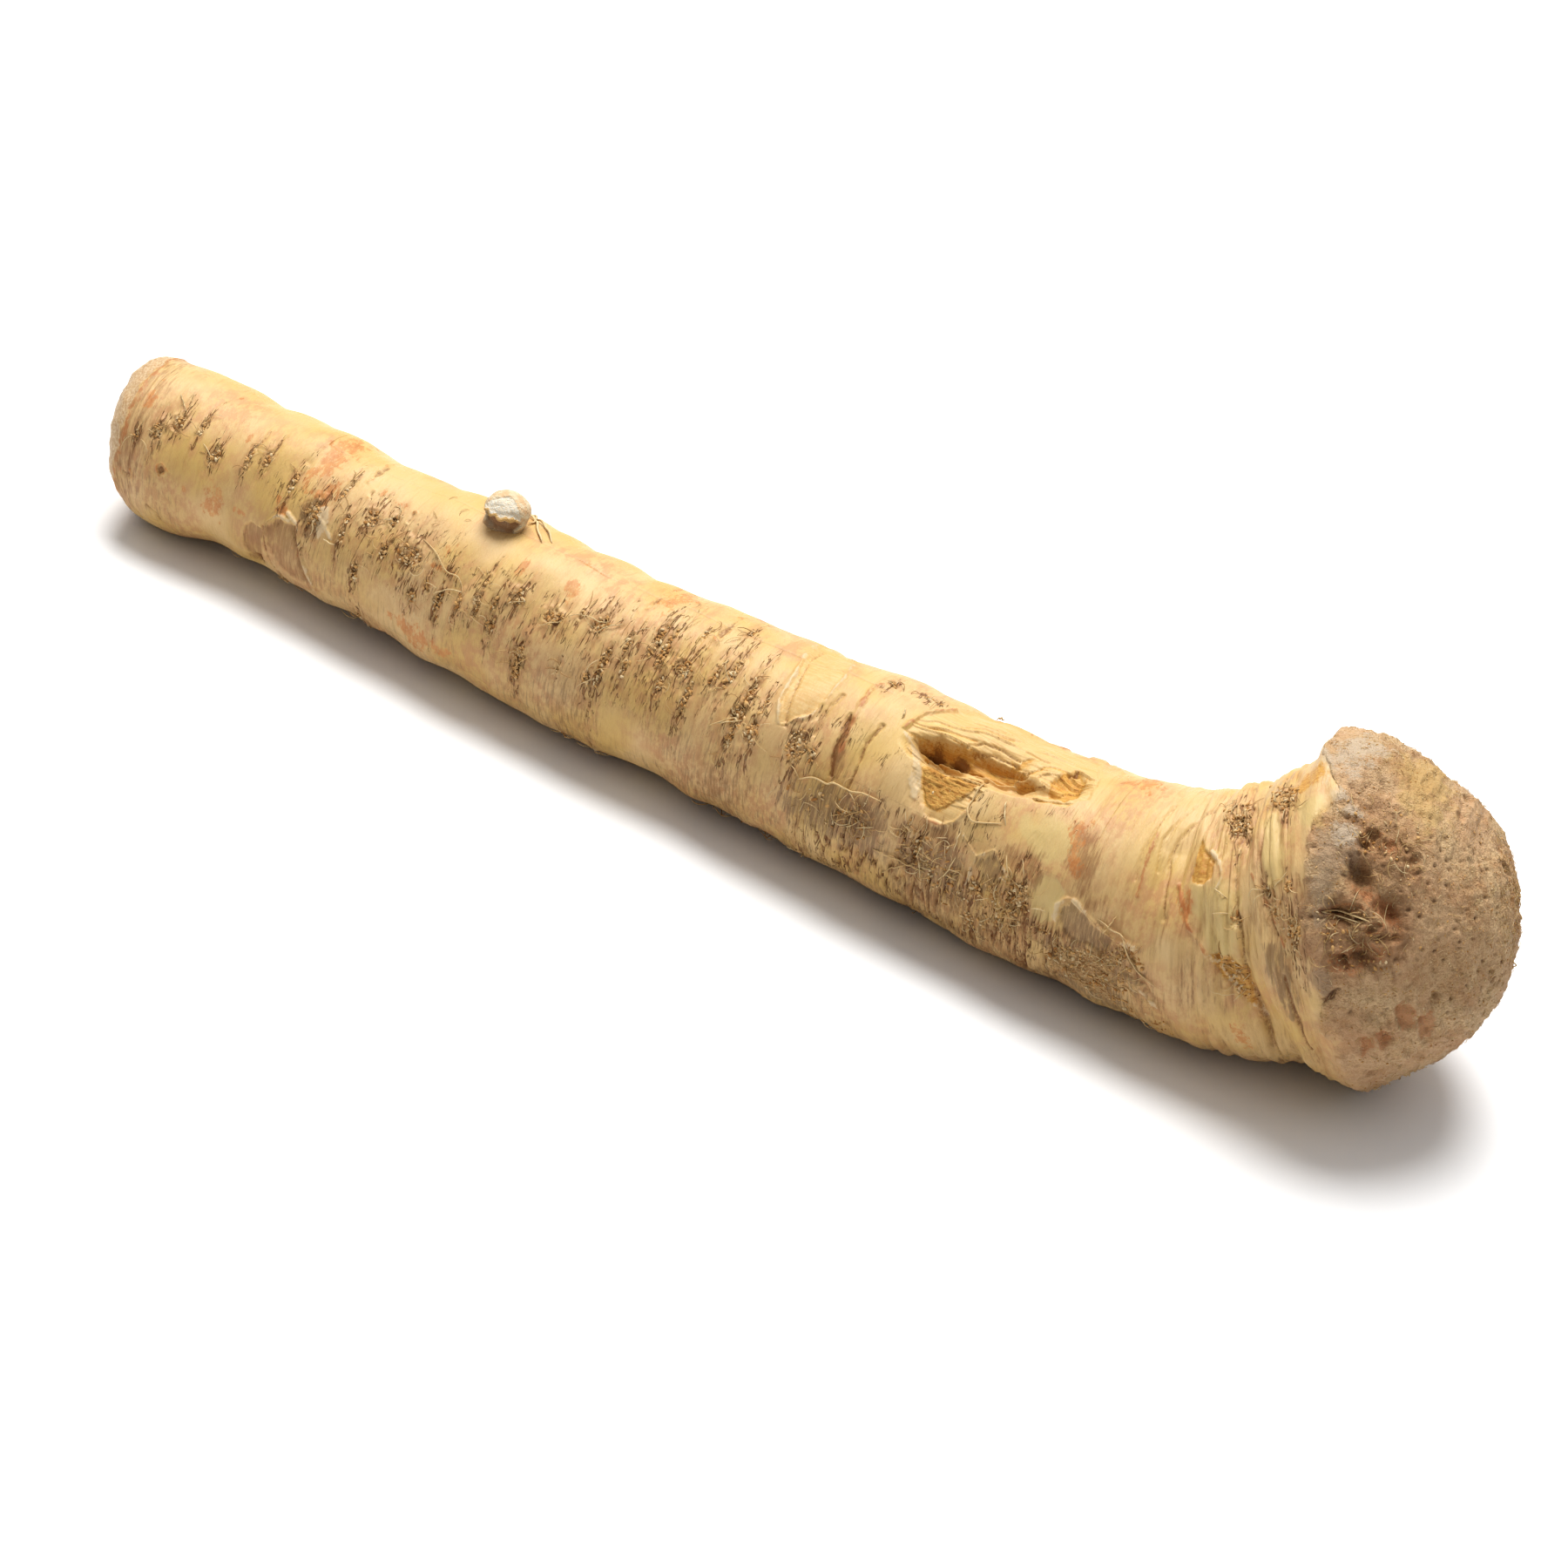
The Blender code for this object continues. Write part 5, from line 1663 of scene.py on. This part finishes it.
def crumbs(skin, crown, finder, material):
    """Crumbs in the scars, in the torn places and on the crown."""
    luck = np.random.default_rng(21)
    spots = []
    for (travel, angle, half_along, half_round), _, kind in all_scars(finder):
        if kind == "eye":
            continue
        count = int(SCAR_CRUMBS[0] + SCAR_CRUMBS[1] * half_along * half_round)
        turn = luck.uniform(0.0, 2 * math.pi, count)
        away = 0.8 * luck.uniform(0.0, 1.0, count) ** 0.7
        radius = np.interp(travel, skin.travel[:, 0], skin.radius[:, 0])
        spots.append(np.stack([travel + away * half_along * np.cos(turn),
                               angle + np.degrees(away * half_round * np.sin(turn) / radius),
                               luck.uniform(*CRUMB_SIZES["scar"], count)], -1))
    loose = skin.marks["scar"] * (skin.arc < 250.0) * (skin.arc > 150.0)
    strewn = strewn_places(skin, SKIN_CHANCE * smoothstep(0.3, 0.9, loose), luck)
    size = luck.uniform(*CRUMB_SIZES["torn skin"], len(strewn))
    spots.append(np.column_stack([strewn, size]))
    tangled = tangle_spots("skin", 1, finder, luck)
    size = luck.uniform(*CRUMB_SIZES["tangle"], len(tangled))
    spots.append(np.column_stack([tangled, size]))
    travel, angle, size = np.concatenate(spots).T
    point, outward = skin.at(travel, angle)
    piece(crumb_mesh("skin_crumbs", point, outward, size, luck), material)

    strewn = strewn_places(crown, CROWN_CHANCE * crown.marks["crown"], luck)
    tangled = tangle_spots("crown", 1, finder, luck)
    point, outward = crown.at(*np.concatenate([strewn, tangled]).T)
    size = np.concatenate([luck.uniform(*CRUMB_SIZES["crown"], len(strewn)),
                           luck.uniform(*CRUMB_SIZES["crown tangle"], len(tangled))])
    piece(crumb_mesh("crown_crumbs", point, outward, size, luck), material)


def hair_mesh(name, paths, outward, radius, luck, sides, darkest=0.0):
    """Hairs: thin tubes along paths, thinner towards both ends."""
    count, steps, _ = paths.shape
    along = unit(np.gradient(paths, axis=1) + 1e-9)
    side = unit(np.cross(along, outward))
    over = np.cross(side, along)
    part = np.linspace(0.0, 1.0, steps)
    girth = radius[:, None] * (0.3 + 0.7 * limited(4 * part * (1 - part)) ** 0.4)
    turn = 2 * math.pi * np.arange(sides) / sides
    ring = (np.cos(turn)[:, None] * side[:, :, None] + np.sin(turn)[:, None] * over[:, :, None])
    vertices = paths[:, :, None] + girth[:, :, None, None] * ring
    vertices[..., 2] = np.maximum(vertices[..., 2], 0.0)
    number = np.arange(steps * sides).reshape(steps, sides)
    beside = np.roll(number, -1, 1)
    quads = np.stack([number[:-1], number[1:], beside[1:], beside[:-1]], -1).reshape(-1, 4)
    first = steps * sides * np.arange(count)
    faces = (quads[None] + first[:, None, None]).reshape(-1, 4).tolist()
    faces += (number[0][None] + first[:, None]).tolist()
    faces += (number[-1][::-1][None] + first[:, None]).tolist()
    tones = np.repeat(luck.uniform(darkest, 1.0, count), steps * sides)
    return loose_mesh(name, vertices.reshape(-1, 3), faces, tones)


def laid(net, travel, angle, lift):
    """Paths that follow a surface, lifted off it, with the outward directions along them."""
    point, outward = net.at(travel, angle)
    return point + outward * lift[..., None], outward


def hairs(skin, crown, finder, material):
    """Root hairs: the long ones that the photograph shows, and short ones in scars and felt."""
    luck = np.random.default_rng(31)
    part = np.linspace(0.0, 1.0, LONG_HAIR_STEPS)
    travels, angles, lifts, radii = [], [], [], []
    for radius, line in HAIRS:
        ends = np.array([finder.place(x, y)[:2] for x, y in line])
        known = np.linspace(0.0, 1.0, len(ends))
        travels.append(smooth(np.stack([known, ends[:, 0]], 1), part))
        angles.append(smooth(np.stack([known, ends[:, 1]], 1), part))
        wave = 0.25 * np.sin(2 * math.pi * (part * luck.uniform(1.5, 3.0) + luck.uniform()))
        lifts.append(0.25 + 0.7 * wave + 0.3 * np.sin(math.pi * part))
        radii.append(LONG_HAIR_GAIN * radius)
    path, outward = laid(skin, np.array(travels), np.array(angles), np.array(lifts))
    mesh = hair_mesh("long_hairs", path, outward, np.array(radii), luck, HAIR_SIDES["long"], 0.5)
    piece(mesh, material)

    starts = [place for place, _, kind in all_scars(finder) if kind != "eye"
              for _ in range(SCAR_HAIRS)]
    starts += [(travel, angle, 0.5, 0.5) for travel, angle in tangle_spots("skin", 0, finder, luck)]
    travel, angle, along, around = np.array(starts).T
    path, outward = short_paths(skin, travel, angle, along, around, SHORT_LENGTHS, luck)
    radius = luck.uniform(*SHORT_RADII, len(travel))
    piece(hair_mesh("short_hairs", path, outward, radius, luck, HAIR_SIDES["short"]), material)

    felt = strewn_places(crown, CROWN_CHANCE * crown.marks["crown"], luck)
    tangled = tangle_spots("crown", 0, finder, luck)
    travel, angle = np.concatenate([felt, tangled]).T
    still = np.full(len(travel), 0.3)
    longer = np.concatenate([np.ones(len(felt)), np.full(len(tangled), FELT_TANGLE_GAIN)])[:, None]
    path, outward = short_paths(crown, travel, angle, still, still, FELT_LENGTHS, luck, longer)
    radius = luck.uniform(*FELT_RADII, len(travel)) * longer[:, 0] ** 0.6
    piece(hair_mesh("crown_felt", path, outward, radius, luck, HAIR_SIDES["felt"]), material)


def short_paths(net, travel, angle, along, around, lengths, luck, longer=1.0):
    """Short curved paths that start at scattered places and lift off a surface in between."""
    count = len(travel)
    part = np.linspace(0.0, 1.0, SHORT_HAIR_STEPS)[None]
    heading = luck.uniform(0.0, 2 * math.pi, (count, 1)) + luck.normal(0.0, 1.3, (count, 1)) * part
    length = longer * luck.uniform(*lengths, (count, 1))
    radius = np.maximum(np.interp(travel, net.travel[:, 0], net.radius[:, 0]), 2.0)[:, None]
    step = length / SHORT_HAIR_STEPS
    travels = travel[:, None] + along[:, None] * luck.uniform(-1, 1, (count, 1))
    travels = travels + np.cumsum(step * np.cos(heading), 1)
    arounds = around[:, None] * luck.uniform(-1, 1, (count, 1)) + np.cumsum(step * np.sin(heading), 1)
    lift = 0.08 + length * luck.uniform(0.0, 0.22, (count, 1)) * np.sin(math.pi * part)
    lift = lift + length * luck.uniform(0.0, 0.1, (count, 1)) * part
    return laid(net, travels, angle[:, None] + np.degrees(arounds / radius), lift)


def stub(material):
    """The side root's stub: a round bulb with a broken, crumbly face that has a toothed edge."""
    known = np.array(STUB_RINGS)
    profile = np.concatenate([np.stack([known[:, 1], known[:, 0]], 1), [(0.0, known[-1, 0] + 0.25)]])
    length = np.concatenate([[0.0], np.cumsum(np.linalg.norm(np.diff(profile, axis=0), axis=1))])
    part = np.linspace(0.0, length[-1], STUB_GRID[0])
    radius = smooth(np.stack([length, profile[:, 0]], 1), part)[:, None]
    height = smooth(np.stack([length, profile[:, 1]], 1), part)[:, None]
    turn = 2 * math.pi * np.arange(STUB_GRID[1])[None] / STUB_GRID[1]
    uneven = 1.0 + STUB_OVAL * np.cos(2 * turn + height) + STUB_LUMPS * np.cos(3 * turn)
    local = np.stack(np.broadcast_arrays(radius * uneven * np.cos(turn),
                                         radius * uneven * np.sin(turn), height), -1)
    bearing = np.degrees(np.arctan2(local[..., 0], -local[..., 1]))
    rise = np.degrees(np.arctan2(height - STUB_MIDDLE, radius))
    fray = layered(local, 1.2, 305, 3)
    tooth = layered(local * (1.0, 1.0, 0.2), 0.9, 309, 2)
    aside = np.abs(turned(bearing - STUB_FACE["bearing"])) + 7.0 * fray
    low = rise - STUB_FACE["low"] - 6.0 * tooth
    face = smoothstep(STUB_FACE["half"] + 3.0, STUB_FACE["half"] - 3.0, aside)
    face = face * smoothstep(STUB_FACE["high"] + 4.0, STUB_FACE["high"] - 4.0, rise + 6.0 * fray)
    edge = face * bell((low - 3.0) / 7.0)
    # The shade mark is painted shadow under the toothed edge.
    shade = face * smoothstep(0.0, -5.0, low) * smoothstep(-60.0, -20.0, rise)
    face = face * smoothstep(-1.5, 1.5, low)
    rough = layered(local, 1.1, 301, 3)
    marks = np.stack([face, edge, shade], -1)
    push = STUB_TOOTH * edge - 0.6 * shade - 0.25 * face + 0.16 * rough * (0.35 + face)
    local += unit(local - (0.0, 0.0, STUB_MIDDLE)) * push[..., None]
    vertices = np.concatenate([[(0.0, 0.0, known[0, 0])], local[:-1].reshape(-1, 3),
                               [local[-1].mean(0)]])
    mesh = grid_mesh("side_root_stub", vertices, *marks[:-1].shape[:2])
    write_vectors(mesh, "marks", marks[:-1], True)
    mesh.transform(stub_place())
    mesh.shade_smooth()
    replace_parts(piece(mesh, material), "horseradish_root")


def stub_place():
    """Where the stub stands: on the skin, leaning a little towards the crown."""
    arc, angle = np.array([STUB_ARC]), np.array([STUB_ANGLE])
    foot = form(arc, smooth(GIRTH, arc), angle)[0] - ORIGIN
    _, along, up, front = (vector[0] for vector in axis(arc))
    turn = math.radians(STUB_ANGLE)
    outward = math.cos(turn) * up + math.sin(turn) * front
    lean = math.radians(STUB_LEAN)
    outward = Vector(outward * math.cos(lean) + along * math.sin(lean)).normalized()
    across = outward.cross(Vector(along)).normalized()
    turn_to = Matrix((across.cross(outward), across, outward)).transposed().to_4x4()
    return Matrix.Translation(Vector(foot) * MM) @ turn_to


def make_floor():
    """A white card under the root."""
    mesh = bpy.data.meshes.new("floor")
    corners = [(x * FLOOR_HALF, y * FLOOR_HALF, 0.0) for x, y in ((-1, -1), (1, -1), (1, 1), (-1, 1))]
    mesh.from_pydata(corners, [], [(0, 1, 2, 3)])
    mesh.materials.append(floor_material())
    floor = placed("floor", mesh)
    floor.location.z = -FLOOR_BELOW


def make_camera():
    """The camera, placed relative to the root as in the photograph."""
    lens = bpy.data.cameras.new("camera")
    lens.lens, lens.sensor_width = LENS, SENSOR
    lens.clip_start, lens.clip_end = CAMERA_RANGE
    camera = placed("camera", lens)
    turn = Matrix(camera_axes()).transposed().to_4x4()
    camera.matrix_world = Matrix.Translation(Vector(CAMERA_PLACE * MM)) @ turn
    bpy.context.scene.camera = camera


def make_lamp():
    """One round lamp, aimed at the root."""
    light = bpy.data.lights.new("key", "AREA")
    light.shape, light.size, light.energy = "DISK", KEY["size"], KEY["power"]
    lamp = placed("key", light)
    lamp.location = KEY["place"]
    lamp.rotation_euler = (-lamp.location).to_track_quat("-Z", "Y").to_euler()


def make_surround():
    """A surround that looks white, and lights the root most from where it is brightest."""
    scene = bpy.context.scene
    world = bpy.data.worlds.new("surround")
    scene.world = world
    world.use_nodes = True
    nodes, links = world.node_tree.nodes, world.node_tree.links
    nodes["Background"].inputs["Color"].default_value = (1.0, 1.0, 1.0, 1.0)
    near = nodes.new("ShaderNodeVectorMath")
    near.operation = "DOT_PRODUCT"
    near.inputs[1].default_value = SKY_MIDDLE
    links.new(nodes.new("ShaderNodeTexCoord").outputs["Generated"], near.inputs[0])
    sky = nodes.new("ShaderNodeMapRange")
    for name, number in SKY.items():
        sky.inputs[name].default_value = number
    links.new(near.outputs["Value"], sky.inputs["Value"])
    lit = nodes.new("ShaderNodeMath")
    lit.operation = "MAXIMUM"
    links.new(nodes.new("ShaderNodeLightPath").outputs["Is Camera Ray"], lit.inputs[0])
    links.new(sky.outputs[0], lit.inputs[1])
    links.new(lit.outputs[0], nodes["Background"].inputs["Strength"])
    scene.view_settings.view_transform = "Standard"
    scene.view_settings.look = "Medium High Contrast"


make_floor()
make_camera()
make_lamp()
make_surround()
skin_net, finder, skin_look = make_root()
for window in WINDOWS:
    make_window(window, finder, skin_look)
crown_net = make_crown(finder, skin_look)
stub(stub_material())
crumb_look = loose_material("crumb_look", (190, 138, 82), (230, 184, 122), (244, 220, 176))
hair_look = loose_material("hair_look", (190, 148, 98), (226, 190, 134), (244, 220, 172))
crumbs(skin_net, crown_net, finder, crumb_look)
hairs(skin_net, crown_net, finder, hair_look)
